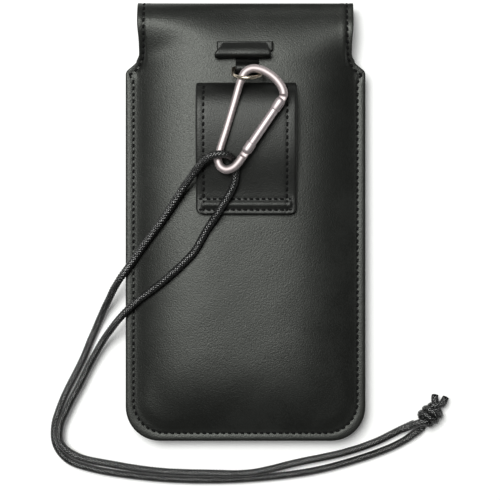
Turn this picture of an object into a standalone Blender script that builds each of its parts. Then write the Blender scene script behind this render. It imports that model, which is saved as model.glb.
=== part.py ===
# Moulded leather belt pouch with an over-the-top flap, a sewn belt loop,
# a D-ring, a spring-gate snap hook and a knotted lanyard cord.
#
# Frame: metres.  The pouch lies flap side down, +Y runs along it to the fold
# of the flap, +X across it, +Z up through the belt loop.  The origin is the
# middle of its footprint, at the height of the surface it lies on.
import bpy
import bmesh
import math
from mathutils import Vector, Matrix

for o in list(bpy.data.objects):
    bpy.data.objects.remove(o, do_unlink=True)

MM = 0.001

# ---- driving dimensions, millimetres ---------------------------------------
HALF_W = 53.0            # half width of the sewn body
Y_BOT = -96.8            # bottom edge
Y_TOP = 96.8             # outside of the top fold
CORNER_R = 15.0          # bottom corner radius
SHOULDER_Y = 65.6        # where the body narrows to the flap
NECK_W = 47.5            # half width of the flap
LEATHER = 1.8            # outer leather thickness
FLAP_T = 1.6             # flap leather thickness
LINING = 0.7             # lining thickness
GAP = 0.3                # clearance between neighbouring pieces
RIM_TOP = 10.95          # upper face of the sewn rim
RIM_BOT = 7.05           # lower face of the sewn rim
Z_BACK = 18.0            # top of the moulded back
FOLD_R = 6.5             # outer radius of each bend of the top fold
SEAM_IN = 3.4            # seam line from the edge
FLAP_END_Y = 27.0        # free end of the flap on the front
MOUTH_Y = 70.0           # top edge of the front panel at its sides
MOUTH_DIP = 5.0          # how far the mouth dips in the middle
THREAD_W = 0.7
THREAD_T = 0.35

LOOP_X0, LOOP_X1 = -21.3, 22.0
LOOP_Y0, LOOP_Y1 = 3.4, 60.6

RING_WIRE_R = 0.8


def sm(a, b, v):
    t = max(0.0, min(1.0, (v - a) / (b - a)))
    return t * t * (3 - 2 * t)


# ---- materials -------------------------------------------------------------
def material(name, color, rough, metal=0.0):
    m = bpy.data.materials.new(name)
    m.use_nodes = True
    b = m.node_tree.nodes["Principled BSDF"]
    b.inputs["Base Color"].default_value = (*color, 1)
    b.inputs["Roughness"].default_value = rough
    b.inputs["Metallic"].default_value = metal
    m.diffuse_color = (*color, 1)
    return m


BLACK_LEATHER = (0.045, 0.048, 0.043)
LINING_C = (0.030, 0.030, 0.032)
THREAD_C = (0.012, 0.012, 0.012)
STEEL = (0.74, 0.71, 0.69)


# ---- building helpers ------------------------------------------------------
def make_object(name, verts, faces, color, rough=0.5, metal=0.0, origin=(0, 0, 0), parent=None, smooth=40):
    """One closed body from points in millimetres, with its origin where asked."""
    me = bpy.data.meshes.new(name)
    o = Vector(origin)
    me.from_pydata([tuple((Vector(v) - o) * MM) for v in verts], [], faces)
    bm = bmesh.new()
    bm.from_mesh(me)
    bmesh.ops.recalc_face_normals(bm, faces=bm.faces)
    bm.to_mesh(me)
    bm.free()
    me.shade_smooth()
    me.set_sharp_from_angle(angle=math.radians(smooth))
    ob = bpy.data.objects.new(name, me)
    bpy.context.scene.collection.objects.link(ob)
    me.materials.append(material(name + "_mat", color, rough, metal))
    place(ob, origin, parent)
    return ob


def place(ob, origin, parent):
    if parent is not None:
        ob.parent = parent
        ob.location = Vector(origin) * MM - parent.location
    else:
        ob.location = Vector(origin) * MM


def pivot(name, pos):
    e = bpy.data.objects.new(name, None)
    e.empty_display_size = 0.01
    e.location = Vector(pos) * MM
    bpy.context.scene.collection.objects.link(e)
    return e


def shell(name, top, bottom, faces, color, **kw):
    """Closes two matching surfaces along their shared outline."""
    n = len(top)
    count = {}
    split = []
    for f in faces:
        if len(f) == 4:
            split += [[f[0], f[1], f[2]], [f[0], f[2], f[3]]]
        else:
            split.append(list(f))
    faces = split
    for f in faces:
        for a, b in zip(f, f[1:] + f[:1]):
            count[(a, b)] = count.get((a, b), 0) + 1
    out = [tuple(f) for f in faces]
    out += [tuple(i + n for i in reversed(f)) for f in faces]
    for (a, b) in count:
        if (b, a) not in count:
            out.append((b, a, a + n, b + n))
    return make_object(name, list(top) + list(bottom), out, color, **kw)


def grid_faces(rows, cols):
    f = []
    for i in range(rows - 1):
        for j in range(cols - 1):
            a = i * cols + j
            f.append([a, a + 1, a + cols + 1, a + cols])
    return f


def cutter(name, size, pos, rot=None):
    me = bpy.data.meshes.new(name)
    bm = bmesh.new()
    bmesh.ops.create_cube(bm, size=1.0)
    for v in bm.verts:
        v.co = Vector((v.co.x * size[0], v.co.y * size[1], v.co.z * size[2])) * MM
    bm.to_mesh(me)
    bm.free()
    ob = bpy.data.objects.new(name, me)
    bpy.context.scene.collection.objects.link(ob)
    if rot is not None:
        ob.rotation_euler = rot
    ob.location = Vector(pos) * MM
    ob.hide_render = True
    ob.display_type = "WIRE"
    return ob


def round_cutter(name, r, length, pos, normal, sides=16):
    me = bpy.data.meshes.new(name)
    bm = bmesh.new()
    bmesh.ops.create_cone(bm, cap_ends=True, segments=sides, radius1=r * MM, radius2=r * MM, depth=length * MM)
    bm.to_mesh(me)
    bm.free()
    ob = bpy.data.objects.new(name, me)
    bpy.context.scene.collection.objects.link(ob)
    ob.rotation_euler = Vector(normal).to_track_quat("Z", "Y").to_euler()
    ob.location = Vector(pos) * MM
    ob.hide_render = True
    ob.display_type = "WIRE"
    return ob


def cut(ob, tool):
    m = ob.modifiers.new("cut_" + tool.name, "BOOLEAN")
    m.operation = "DIFFERENCE"
    m.object = tool
    m.solver = "EXACT"


# ---- the moulded outline ---------------------------------------------------
CORNER_N = 5
BOTTOM_N = 7


def corner_radius(d):
    return max(CORNER_R - 0.34 * d, 6.0)


def u_ring(d, stations, y_bot=Y_BOT):
    """One line of the moulding, inset d from the edge: down the left side,
    round the bottom corners and up the right side."""
    left = []
    rc = corner_radius(d)
    yb = y_bot + d
    for y in stations:
        if y > SHOULDER_Y:
            w = NECK_W + (HALF_W - NECK_W) * (1 - sm(SHOULDER_Y, 71.3, y))
            if d < 9.5:
                w = w - d * (w - (HALF_W - 9.5)) / 9.5
            else:
                w = HALF_W - d
        else:
            w = HALF_W - d
        left.append((-w, y))
    cx, cy = -(HALF_W - d) + rc, yb + rc
    for k in range(CORNER_N):
        a = math.pi + (math.pi / 2) * k / (CORNER_N - 1)
        left.append((cx + rc * math.cos(a), cy + rc * math.sin(a)))
    for k in range(1, BOTTOM_N):
        t = (k - 0.0) / (2 * BOTTOM_N - 1)
        left.append((cx + (-2 * cx) * t, yb))
    return left + [(-x, y) for x, y in reversed(left)]


def ring_surface(insets, stations, y_shift=None, y_bot=Y_BOT):
    """Points (x, y, d) of the nested rings and the faces between them."""
    pts, faces = [], []
    n = None
    for d in insets:
        r = u_ring(d, stations, y_bot)
        n = len(r)
        for x, y in r:
            if y_shift is not None:
                y = y_shift(x, y)
            pts.append((x, y, d))
    for k in range(len(insets) - 1):
        for i in range(n - 1):
            a, b = k * n + i, k * n + i + 1
            faces.append([a, b, b + n, a + n])
    base = (len(insets) - 1) * n
    last = len(stations) + CORNER_N - 2
    for m in range(last):
        faces.append([base + m, base + m + 1, base + n - 2 - m, base + n - 1 - m])
    faces.append([base + i for i in range(last, n - last)])
    return pts, faces


def step(d, deep):
    """Height of the front's moulding at a distance d in from the edge."""
    return deep * sm(9.3, 18.0, d)


def pillow(d):
    """The moulded back swells from just inside its seam: steeply at first, then almost flat."""
    t = min(max((d - 5.0) / 40.0, 0.0), 1.0)
    return (Z_BACK - RIM_TOP) * (1.0 - (1.0 - t) ** 3)


def back_top(x, y, d):
    low = RIM_TOP + pillow(d)
    return low + (Z_BACK - low) * sm(67.0, 88.5, y)


def front_bottom(x, y, d):
    deep = RIM_BOT - 3.0 * sm(0.0, 22.0, y)
    return RIM_BOT - step(d, deep)


# ---- back of the pouch -----------------------------------------------------
case = pivot("case_frame", (0, 0, 0))

SIDE_Y = [88.5, 83.0, 77.0, 71.3, 68.0, SHOULDER_Y, 45.0, 22.0, 0.0, -28.0, -55.0]
INSETS = [0.0, 4.6, 7.0, 9.3, 12.0, 15.0, 18.0, 23.0, 28.0, 40.0]

fold_a = [0.0, 14.0, 28.0, 42.0]
YC = Y_TOP - FOLD_R


def bend_top(angle_deg, r):
    a = math.radians(angle_deg)
    return YC + r * math.sin(a), Z_BACK - FOLD_R + r * math.cos(a)


def bend_low(angle_deg, r):
    a = math.radians(angle_deg)
    return YC + r * math.sin(a), FOLD_R - r * math.cos(a)


def back_layer(name, z_off_top, thick, insets, fold_end, color, rough, stations, neck_in=0.0, y_bot=Y_BOT, fold_from=0):
    """A moulded back layer, carried on round the first bend of the fold."""
    pts, faces = ring_surface(insets, stations, y_bot=y_bot)
    n = len(pts) // len(insets)
    top = [(x, y, back_top(x, y, d) - z_off_top) for x, y, d in pts]
    bot = [(x, y, back_top(x, y, d) - z_off_top - thick) for x, y, d in pts]
    # the row across the neck, left to right, is where the bend starts
    row = [k * n for k in range(len(insets))] + [k * n + n - 1 for k in reversed(range(len(insets)))]
    prev = row
    angles = [a for a in (10.0, 20.0, 30.0) if a < fold_end - 4] + [fold_end]
    for a in [0.0] + angles:
        yo, zo = bend_top(a, FOLD_R - z_off_top)
        yi, zi = bend_top(a, FOLD_R - z_off_top - thick)
        new = []
        for i in row:
            x = pts[i][0]
            new.append(len(top))
            top.append((x, yo, zo))
            bot.append((x, yi, zi))
        for j in range(len(row) - 1):
            faces.append([prev[j], prev[j + 1], new[j + 1], new[j]])
        prev = new
    return shell(name, top, bot, faces, color, rough=rough, parent=case)


back_panel = back_layer("back_panel", 0.0, LEATHER, INSETS, 42.0, BLACK_LEATHER, 0.45, SIDE_Y)
back_lining = back_layer("back_lining", LEATHER + GAP, LINING, [12.0, 15.0, 18.0, 28.0, 40.0], 42.0, LINING_C, 0.8, SIDE_Y)

# slit in the back for the belt loop's upper end
SLIT_Z = Z_BACK - 1.5
cut(back_panel, cutter("slit_loop", (LOOP_X1 - LOOP_X0 + 0.8, 2.5, 7.0), (0.35, 60.05, SLIT_Z)))

# ---- front of the pouch ----------------------------------------------------
FRONT_Y = [MOUTH_Y, 65.6, 58.0, 45.0, 30.0, 22.0, 14.0, 7.0, 0.0, -28.0, -55.0]


def mouth(x, y):
    if y <= 45.0:
        return y
    k = (y - 45.0) / (MOUTH_Y - 45.0)
    return y - k * MOUTH_DIP * (1 - (x / HALF_W) ** 2)


def front_layer(name, z_off, thick, insets, color, rough, stations):
    pts, faces = ring_surface(insets, stations, y_shift=mouth)
    bot = [(x, y, front_bottom(x, y, d) + z_off) for x, y, d in pts]
    top = [(x, y, z + thick) for x, y, z in bot]
    return shell(name, top, bot, faces, color, rough=rough, parent=case)


front_panel = front_layer("front_panel", 0.0, LEATHER, INSETS, BLACK_LEATHER, 0.45, FRONT_Y)
front_lining = front_layer("front_lining", LEATHER + GAP, LINING, [12.0, 15.0, 18.0, 28.0, 40.0], LINING_C, 0.8, FRONT_Y)

# thin steel plate between front panel and lining would touch both, so the
# keeper is set in the lining's face where the flap magnet meets it
# ---- body seam thread: one run on each face --------------------------------
def strip_path(name, path, up, thick, width, color, parent, rough=0.7, origin=(0, 0, 0)):
    """A flat run of thread along path; up gives each point's face normal."""
    top, bot = [], []
    n = len(path)
    for i, p in enumerate(path):
        p = Vector(p)
        q = Vector(path[min(i + 1, n - 1)]) - Vector(path[max(i - 1, 0)])
        u = Vector(up[i]).normalized()
        side = q.cross(u).normalized() * (width / 2)
        for s in (-1, 1):
            top.append(tuple(p + side * s + u * thick))
            bot.append(tuple(p + side * s))
    return shell(name, top, bot, grid_faces(n, 2), color, rough=rough, parent=parent, origin=origin)


SEAM_Y = [63.5, 40.0, 10.0, -20.0, -50.0]
seam = u_ring(SEAM_IN, SEAM_Y)
strip_path("body_seam_thread_back", [(x, y, RIM_TOP + GAP) for x, y in seam], [(0, 0, 1)] * len(seam),
           THREAD_T, THREAD_W, THREAD_C, case)
strip_path("body_seam_thread_front", [(x, y, RIM_BOT - GAP) for x, y in seam], [(0, 0, -1)] * len(seam),
           THREAD_T, THREAD_W, THREAD_C, case)

# ---- belt loop -------------------------------------------------------------
LOOP_PROFILE = [(3.4, 21.15), (7.0, 21.15), (11.0, 21.25), (15.0, 22.2), (19.0, 23.6), (23.0, 25.0), (29.0, 26.4),
                (38.0, 27.0), (47.0, 26.9), (52.5, 26.1), (56.6, 24.5), (59.4, 21.9), (60.9, 18.6)]


def offset_profile(profile, d):
    out = []
    n = len(profile)
    for i, (y, z) in enumerate(profile):
        a, b = profile[max(i - 1, 0)], profile[min(i + 1, n - 1)]
        ty, tz = b[0] - a[0], b[1] - a[1]
        l = math.hypot(ty, tz)
        out.append((y + tz / l * d, z - ty / l * d))
    return out


def loop_layer(name, profile, thick, x0, x1, color, rough, corner=2.5):
    low = offset_profile(profile, thick)
    xs = [x0, x0 + corner, 0.35, x1 - corner, x1]
    top, bot = [], []
    for k, ((ya, za), (yb, zb)) in enumerate(zip(profile, low)):
        for j, x in enumerate(xs):
            lift = 0.0
            if k == 0 and j in (0, 4):
                lift = corner * 0.6
            top.append((x, ya + lift, za))
            bot.append((x, yb + lift, zb))
    return shell(name, top, bot, grid_faces(len(profile), len(xs)), color, rough=rough, parent=case, smooth=50)


STRAP_T = 1.6
loop_top = LOOP_PROFILE[:-1] + [(60.9, 17.2)]
loop_layer("belt_loop_strap", loop_top, STRAP_T, LOOP_X0, LOOP_X1, BLACK_LEATHER, 0.45)
liner_profile = offset_profile(LOOP_PROFILE, STRAP_T + GAP)[1:10]
loop_layer("belt_loop_liner", liner_profile, 0.75, LOOP_X0 + 1.0, LOOP_X1 - 1.0, LINING_C, 0.8, corner=1.5)

# stitches that hold the loop: two sides and two rows across its foot
def loop_z(y):
    for (ya, za), (yb, zb) in zip(LOOP_PROFILE, LOOP_PROFILE[1:]):
        if ya <= y <= yb:
            return za + (zb - za) * (y - ya) / (yb - ya)
    return LOOP_PROFILE[-1][1]


ys = [y for y, z in LOOP_PROFILE if 5.0 < y < 57.0]


def side_run(x):
    path = [(x, 5.3, loop_z(5.3) + GAP + 0.02)] + [(x, y, loop_z(y) + GAP + 0.02) for y in ys]
    return path


ladder = side_run(-18.6)
up_l = []
for i in range(len(ladder)):
    a, b = ladder[max(i - 1, 0)], ladder[min(i + 1, len(ladder) - 1)]
    up_l.append((0, -(b[2] - a[2]), b[1] - a[1]))
strip_path("belt_loop_thread_left", ladder, up_l, THREAD_T, THREAD_W, THREAD_C, case)
strip_path("belt_loop_thread_right", [(18.4, y, z) for x, y, z in ladder], up_l, THREAD_T, THREAD_W, THREAD_C, case)
for nm, y in (("belt_loop_bar_thread_upper", 9.8), ("belt_loop_bar_thread_lower", 5.3)):
    zz = loop_z(y) + GAP + 0.02
    strip_path(nm, [(x, y, zz) for x in (-17.6, 0.0, 17.4)], [(0, 0, 1)] * 3, THREAD_T, THREAD_W, THREAD_C, case)

# ---- ring tab: a small leather tunnel for the ring's bar -------------------
RING_BAR = (0.8, 67.0, 20.6)


def tab_tunnel(name, x0, x1, cy, cz, r_in, r_out, color):
    """A strap folded round a bar, its two ends flat on the panel."""
    section = []
    for k in range(9):
        a = math.radians(90 + 180 - 225 * k / 8.0)
        section.append((math.cos(a), math.sin(a)))
    outer = [(cy + r_out * c, cz + r_out * s) for c, s in section]
    inner = [(cy + r_in * c, cz + r_in * s) for c, s in section]
    top, bot = [], []
    xs = [x0, (x0 + x1) / 2, x1]
    for (ya, za), (yb, zb) in zip(outer, inner):
        for x in xs:
            top.append((x, ya, za))
            bot.append((x, yb, zb))
    return shell(name, top, bot, grid_faces(len(outer), len(xs)), color, rough=0.5, parent=case, smooth=60)


tab_tunnel("ring_tab", -4.2, 5.8, RING_BAR[1], RING_BAR[2], RING_WIRE_R + 0.32, RING_WIRE_R + 1.5, BLACK_LEATHER)

# ---- flap ------------------------------------------------------------------
H1 = (0.0, Y_TOP, Z_BACK)
H2 = (0.0, Y_TOP, 0.0)
fold_pivot = pivot("fold_pivot", H1)
flap_pivot = pivot("flap_pivot", H2)
flap_pivot.parent = fold_pivot
flap_pivot.location = (Vector(H2) - Vector(H1)) * MM
bpy.context.view_layer.update()


def place_on(ob, origin, piv_world):
    ob.location = (Vector(origin) - Vector(piv_world)) * MM


def fold_strip(name, r_out, thick, half, a0, color, rough):
    prof = []
    for a in (a0, 60.0, 75.0, 90.0):
        prof.append((bend_top(a, r_out), bend_top(a, r_out - thick)))
    for a in (90.0, 75.0, 60.0, a0):
        prof.append((bend_low(a, r_out), bend_low(a, r_out - thick)))
    xs = [-half, -half / 2, 0.0, half / 2, half]
    top, bot = [], []
    for (o, i) in prof:
        for x in xs:
            top.append((x, o[0], o[1]))
            bot.append((x, i[0], i[1]))
    ob = shell(name, top, bot, grid_faces(len(prof), len(xs)), color, rough=rough, origin=H1, smooth=50)
    ob.parent = fold_pivot
    ob.location = (0, 0, 0)
    return ob


fold_strip("flap_spine", FOLD_R, FLAP_T, NECK_W, 47.0, BLACK_LEATHER, 0.45)
fold_strip("flap_spine_lining", FOLD_R - FLAP_T - GAP, LINING, NECK_W - 4.4, 48.0, LINING_C, 0.8)

FLAP_X = [-1.0, -0.9, -0.72, -0.4, 0.0, 0.4, 0.72, 0.9, 1.0]


def flap_lift(x):
    return 1.0 * sm(41.0, NECK_W, abs(x))


def flap_layer(name, z0, thick, half, end_y, color, rough, a0=42.0, end_r=22.0):
    rows = []
    for a in (a0, 28.0, 14.0, 0.0):
        rows.append((bend_low(a, FOLD_R - z0), bend_low(a, FOLD_R - z0 - thick)))
    ys = [84.0, 72.0, 60.0, 50.0]
    top, bot = [], []
    for (o, i) in rows:
        for u in FLAP_X:
            x = u * half
            top.append((x, i[0], i[1]))
            bot.append((x, o[0], o[1]))
    for k, y in enumerate(ys):
        for u in FLAP_X:
            x = u * half
            lift = flap_lift(x) * sm(90.0, 78.0, y)
            top.append((x, y, z0 + thick + lift))
            bot.append((x, y, z0 + lift))
    # rounded free end
    for s in (0.35, 0.7, 1.0):
        for u in FLAP_X:
            x = u * half
            edge = abs(u)
            drop = end_r * (1 - math.sqrt(max(0.0, 1 - edge ** 3)))
            y = 50.0 + (end_y + drop - 50.0) * s if s == 1.0 else 50.0 + (end_y + drop - 50.0) * s
            lift = flap_lift(x)
            top.append((x, y, z0 + thick + lift))
            bot.append((x, y, z0 + lift))
    ob = shell(name, top, bot, grid_faces(len(rows) + len(ys) + 3, len(FLAP_X)), color, rough=rough, origin=H2, smooth=50)
    ob.parent = flap_pivot
    ob.location = (0, 0, 0)
    return ob


flap_panel = flap_layer("flap_panel", 0.0, FLAP_T, NECK_W, FLAP_END_Y, BLACK_LEATHER, 0.45)
flap_lining = flap_layer("flap_lining", FLAP_T + GAP, LINING, NECK_W - 4.4, FLAP_END_Y + 5.5, LINING_C, 0.8, a0=41.0)

# magnet closure: one disc set in the flap's lining, its keeper in the front's
MAGNET = (0.0, 41.0)
MAGNET_R = 5.0


def disc(name, r, z0, z1, centre, color, origin=None, parent=case, metal=1.0, sides=24):
    prof = [(r - 0.15, z0), (r, z0 + 0.15), (r, z1 - 0.15), (r - 0.15, z1)]
    verts, faces = [], []
    for (rr, z) in prof:
        for k in range(sides):
            a = 2 * math.pi * k / sides
            verts.append((centre[0] + rr * math.cos(a), centre[1] + rr * math.sin(a), z))
    for j in range(len(prof) - 1):
        for k in range(sides):
            a, b = j * sides + k, j * sides + (k + 1) % sides
            faces.append((a, b, b + sides, a + sides))
    faces.append(tuple(reversed(range(sides))))
    faces.append(tuple(range((len(prof) - 1) * sides, len(prof) * sides)))
    return make_object(name, verts, faces, color, rough=0.35, metal=metal, origin=origin or (0, 0, 0), parent=parent)


flap_magnet = disc("flap_magnet", MAGNET_R, FLAP_T + GAP, FLAP_T + GAP + LINING, MAGNET, STEEL, origin=H2, parent=None)
flap_magnet.parent = flap_pivot
flap_magnet.location = (0, 0, 0)
hole_a = round_cutter("flap_magnet_seat", MAGNET_R + GAP, 4.0, (MAGNET[0], MAGNET[1], FLAP_T + 1.0), (0, 0, 1), 24)
cut(flap_lining, hole_a)
KEEP_Z = 3.0 + LEATHER + GAP
front_keeper = disc("front_keeper", MAGNET_R, KEEP_Z, KEEP_Z + LINING, MAGNET, STEEL)
hole_b = round_cutter("front_keeper_seat", MAGNET_R + GAP, 4.0, (MAGNET[0], MAGNET[1], KEEP_Z), (0, 0, 1), 24)
cut(front_lining, hole_b)

# flap edge stitching, one run round the flap and one over each part of the top
FLAP_SEAM_X = 44.7


def seam_z_back(x, y):
    d = HALF_W - abs(x)
    return back_top(x, y, max(d, 0.0))


for nm, s in (("neck_thread_left", -1), ("neck_thread_right", 1)):
    path = []
    ups = []
    for y in (72.5, 76.0, 80.0, 84.0, 88.5):
        path.append((s * FLAP_SEAM_X, y, seam_z_back(s * FLAP_SEAM_X, y) + GAP + 0.05))
    path += [(s * FLAP_SEAM_X, *bend_top(a, FOLD_R + GAP + 0.05)) for a in (0.0, 20.0, 40.0)]
    for i in range(len(path)):
        a, b = path[max(i - 1, 0)], path[min(i + 1, len(path) - 1)]
        ups.append((0, -(b[2] - a[2]), b[1] - a[1]))
    strip_path(nm, path, ups, THREAD_T, THREAD_W, THREAD_C, case)

# the flap's seam shows its inner run here, beside the lining
flap_seam = []
for y in (84.0, 66.0, 52.0):
    flap_seam.append((-FLAP_SEAM_X, y, FLAP_T + GAP + 0.1 + flap_lift(FLAP_SEAM_X) * sm(90.0, 78.0, y)))
for k in range(0, 15):
    u = -1.0 + 2.0 * k / 14.0
    hx = FLAP_SEAM_X * math.sin(u * math.pi / 2)
    drop = 22.0 * (1 - math.sqrt(max(0.0, 1 - (abs(hx) / FLAP_SEAM_X) ** 3)))
    flap_seam.append((hx, FLAP_END_Y + 2.8 + drop * 0.97, FLAP_T + GAP + 0.1 + flap_lift(hx)))
for y in (52.0, 66.0, 84.0):
    flap_seam.append((FLAP_SEAM_X, y, FLAP_T + GAP + 0.1 + flap_lift(FLAP_SEAM_X) * sm(90.0, 78.0, y)))
ft = strip_path("flap_seam_thread", flap_seam, [(0, 0, 1)] * len(flap_seam), THREAD_T, THREAD_W, THREAD_C, None,
                origin=H2)
ft.parent = flap_pivot
ft.location = (0, 0, 0)

# ---- pull strap: a folded tab outside, a ribbon inside ---------------------
TAB_AXIS = (0.0, 72.4, 18.25)
tab_pivot = pivot("tab_pivot", TAB_AXIS)
TAB_PROFILE = [(72.4, 18.4), (72.35, 20.6), (72.9, 22.9), (74.2, 24.2), (76.3, 23.7), (79.1, 21.7)]


def tab_ply(name, profile, thick, spans, color):
    low = offset_profile(profile, thick)
    top, bot = [], []
    for (y, z), (yb, zb), (xa, xb) in zip(profile, low, spans):
        for t in (0.0, 0.08, 0.5, 0.92, 1.0):
            x = xa + (xb - xa) * t
            top.append((x, y, z))
            bot.append((x, yb, zb))
    ob = shell(name, top, bot, grid_faces(len(profile), 5), color, origin=TAB_AXIS, smooth=50)
    ob.parent = tab_pivot
    ob.location = (0, 0, 0)
    return ob


tab_ply("pull_tab_fold", TAB_PROFILE, 1.3,
        [(-13.2, 9.2), (-13.2, 9.2), (-13.3, 9.0), (-13.0, 8.8), (-12.6, 10.6), (-10.2, 9.4)], BLACK_LEATHER)
tab_ply("pull_tab_under_ply", [(74.8, 19.75), (76.5, 19.75), (78.2, 19.75), (79.6, 19.7)], 1.1,
        [(-12.4, 12.0), (-12.4, 12.0), (-11.6, 11.4), (-9.6, 9.6)], BLACK_LEATHER)

rib_top = []
rib_bot = []
for y in (66.0, 40.0, 0.0, -30.0, -50.0):
    for x in (-11.0, 0.0, 11.0):
        z = back_top(x, y, min(HALF_W - abs(x), y - Y_BOT)) - LEATHER - GAP - LINING - GAP
        rib_top.append((x, y, z))
        rib_bot.append((x, y, z - 0.4))
shell("pull_strap_ribbon", rib_top, rib_bot, grid_faces(5, 3), LINING_C, rough=0.7, parent=case)

# ---- D-ring ----------------------------------------------------------------
LEAN = math.radians(64.0)
RING_ORIGIN = Vector(RING_BAR)
RING_V = Vector((0.0, -math.cos(LEAN), math.sin(LEAN)))
ring_pivot = pivot("ring_pivot", RING_BAR)


def ring_point(u, v):
    return RING_ORIGIN + Vector((u, 0, 0)) + RING_V * v


RING_H = 13.1
RING_A = 6.2
RING_C = 1.1
ring_uv = [(-5.1, 0.0), (-1.7, 0.0), (1.7, 0.0), (5.1, 0.0)]
for k in range(1, 4):
    a = math.radians(-90 + 30 * k)
    ring_uv.append((RING_A - RING_C + RING_C * math.cos(a), RING_C + RING_C * math.sin(a)))
for k in range(0, 15):
    a = math.pi * k / 14.0
    ring_uv.append((RING_A * math.cos(a), RING_H - RING_A + RING_A * math.sin(a)))
for k in range(0, 3):
    a = math.radians(180 + 30 * k)
    ring_uv.append((-RING_A + RING_C + RING_C * math.cos(a), RING_C + RING_C * math.sin(a)))


def curve_tube(name, pts, r, color, rough, metal, origin, parent, cyclic=False, res=2, radii=None):
    cu = bpy.data.curves.new(name, "CURVE")
    cu.dimensions = "3D"
    sp = cu.splines.new("POLY")
    sp.points.add(len(pts) - 1)
    for i, p in enumerate(pts):
        q = (Vector(p) - Vector(origin)) * MM
        sp.points[i].co = (q.x, q.y, q.z, 1)
        if radii:
            sp.points[i].radius = radii[i]
    sp.use_cyclic_u = cyclic
    sp.use_smooth = True
    cu.bevel_depth = r * MM
    cu.bevel_resolution = res
    cu.use_fill_caps = not cyclic
    ob = bpy.data.objects.new(name, cu)
    bpy.context.scene.collection.objects.link(ob)
    cu.materials.append(material(name + "_mat", color, rough, metal))
    if parent is not None:
        ob.parent = parent
        ob.location = (0, 0, 0)
    else:
        ob.location = Vector(origin) * MM
    return ob


curve_tube("d_ring", [ring_point(u, v) for u, v in ring_uv], RING_WIRE_R, (0.75, 0.68, 0.58), 0.25, 1.0,
           RING_BAR, ring_pivot, cyclic=True)

# ---- snap hook -------------------------------------------------------------
# The hook lies in a plane that rises a little towards its foot, where the
# cord runs under it.  Its lines are drawn in plan, in millimetres.
HOOK_Y0, HOOK_Z0, HOOK_SLOPE, HOOK_ROLL = 62.0, 29.0, 0.08, 0.25
HOOK_N = Vector((-HOOK_ROLL, HOOK_SLOPE, 1.0)).normalized()


def hook_at(x, y):
    return Vector((x, y, HOOK_Z0 + (HOOK_Y0 - y) * HOOK_SLOPE + (x + 1.4) * HOOK_ROLL))


GATE_P = (0.6, 30.3)
GATE_N = (14.7, 50.9)
HOOK_PLAN = [(0.6, 30.3), (-1.3, 27.5), (-3.1, 25.0), (-5.4, 22.9), (-8.2, 22.1), (-10.6, 23.3), (-11.7, 26.0),
             (-11.3, 29.5), (-8.2, 39.6), (-4.9, 50.6), (-1.5, 61.8), (0.0, 64.2), (2.6, 65.5), (6.0, 65.2),
             (10.0, 63.2), (13.6, 60.0), (16.0, 56.0), (16.2, 53.4), (14.7, 50.9)]


def smooth_path(pts, step):
    """A centripetal curve through the points, read at about equal steps."""
    P = [Vector(p) for p in pts]
    P = [P[0] * 2 - P[1]] + P + [P[-1] * 2 - P[-2]]
    fine = []
    for i in range(1, len(P) - 2):
        p0, p1, p2, p3 = P[i - 1], P[i], P[i + 1], P[i + 2]
        t0 = 0.0
        t1 = t0 + max((p1 - p0).length, 1e-9) ** 0.5
        t2 = t1 + max((p2 - p1).length, 1e-9) ** 0.5
        t3 = t2 + max((p3 - p2).length, 1e-9) ** 0.5
        for k in range(24):
            t = t1 + (t2 - t1) * k / 24.0
            a1 = p0 * ((t1 - t) / (t1 - t0)) + p1 * ((t - t0) / (t1 - t0))
            a2 = p1 * ((t2 - t) / (t2 - t1)) + p2 * ((t - t1) / (t2 - t1))
            a3 = p2 * ((t3 - t) / (t3 - t2)) + p3 * ((t - t2) / (t3 - t2))
            b1 = a1 * ((t2 - t) / (t2 - t0)) + a2 * ((t - t0) / (t2 - t0))
            b2 = a2 * ((t3 - t) / (t3 - t1)) + a3 * ((t - t1) / (t3 - t1))
            fine.append(b1 * ((t2 - t) / (t2 - t1)) + b2 * ((t - t1) / (t2 - t1)))
    fine.append(P[-2].copy())
    total = sum((b - a).length for a, b in zip(fine, fine[1:]))
    n = max(2, int(round(total / step)))
    out, want, run = [fine[0]], total / n, 0.0
    k = 1
    for a, b in zip(fine, fine[1:]):
        seg = (b - a).length
        while k < n and run + seg >= want * k:
            out.append(a + (b - a) * ((want * k - run) / seg))
            k += 1
        run += seg
    out.append(fine[-1])
    return out


hook_line = [hook_at(p.x, p.y) for p in smooth_path([(x, y, 0) for x, y in HOOK_PLAN], 2.6)]
P3, N3 = hook_at(*GATE_P), hook_at(*GATE_N)
GATE_DIR = (N3 - P3).normalized()
GATE_L = (N3 - P3).length
# extra rounded ends of the flat tongues, just past the pivot and the latch
hook_line = [P3 + GATE_DIR * 1.3] + [p for p in hook_line[0:1]] + [P3 + (hook_line[1] - P3).normalized() * 2.7,
            P3 + (hook_line[1] - P3).normalized() * 3.4] +             [p for p in hook_line if (p - P3).length > 4.6 and (p - N3).length > 4.6] +             [N3 + (hook_line[-2] - N3).normalized() * 3.4, N3 + (hook_line[-2] - N3).normalized() * 2.7, N3,
             N3 - GATE_DIR * 1.3]


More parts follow.
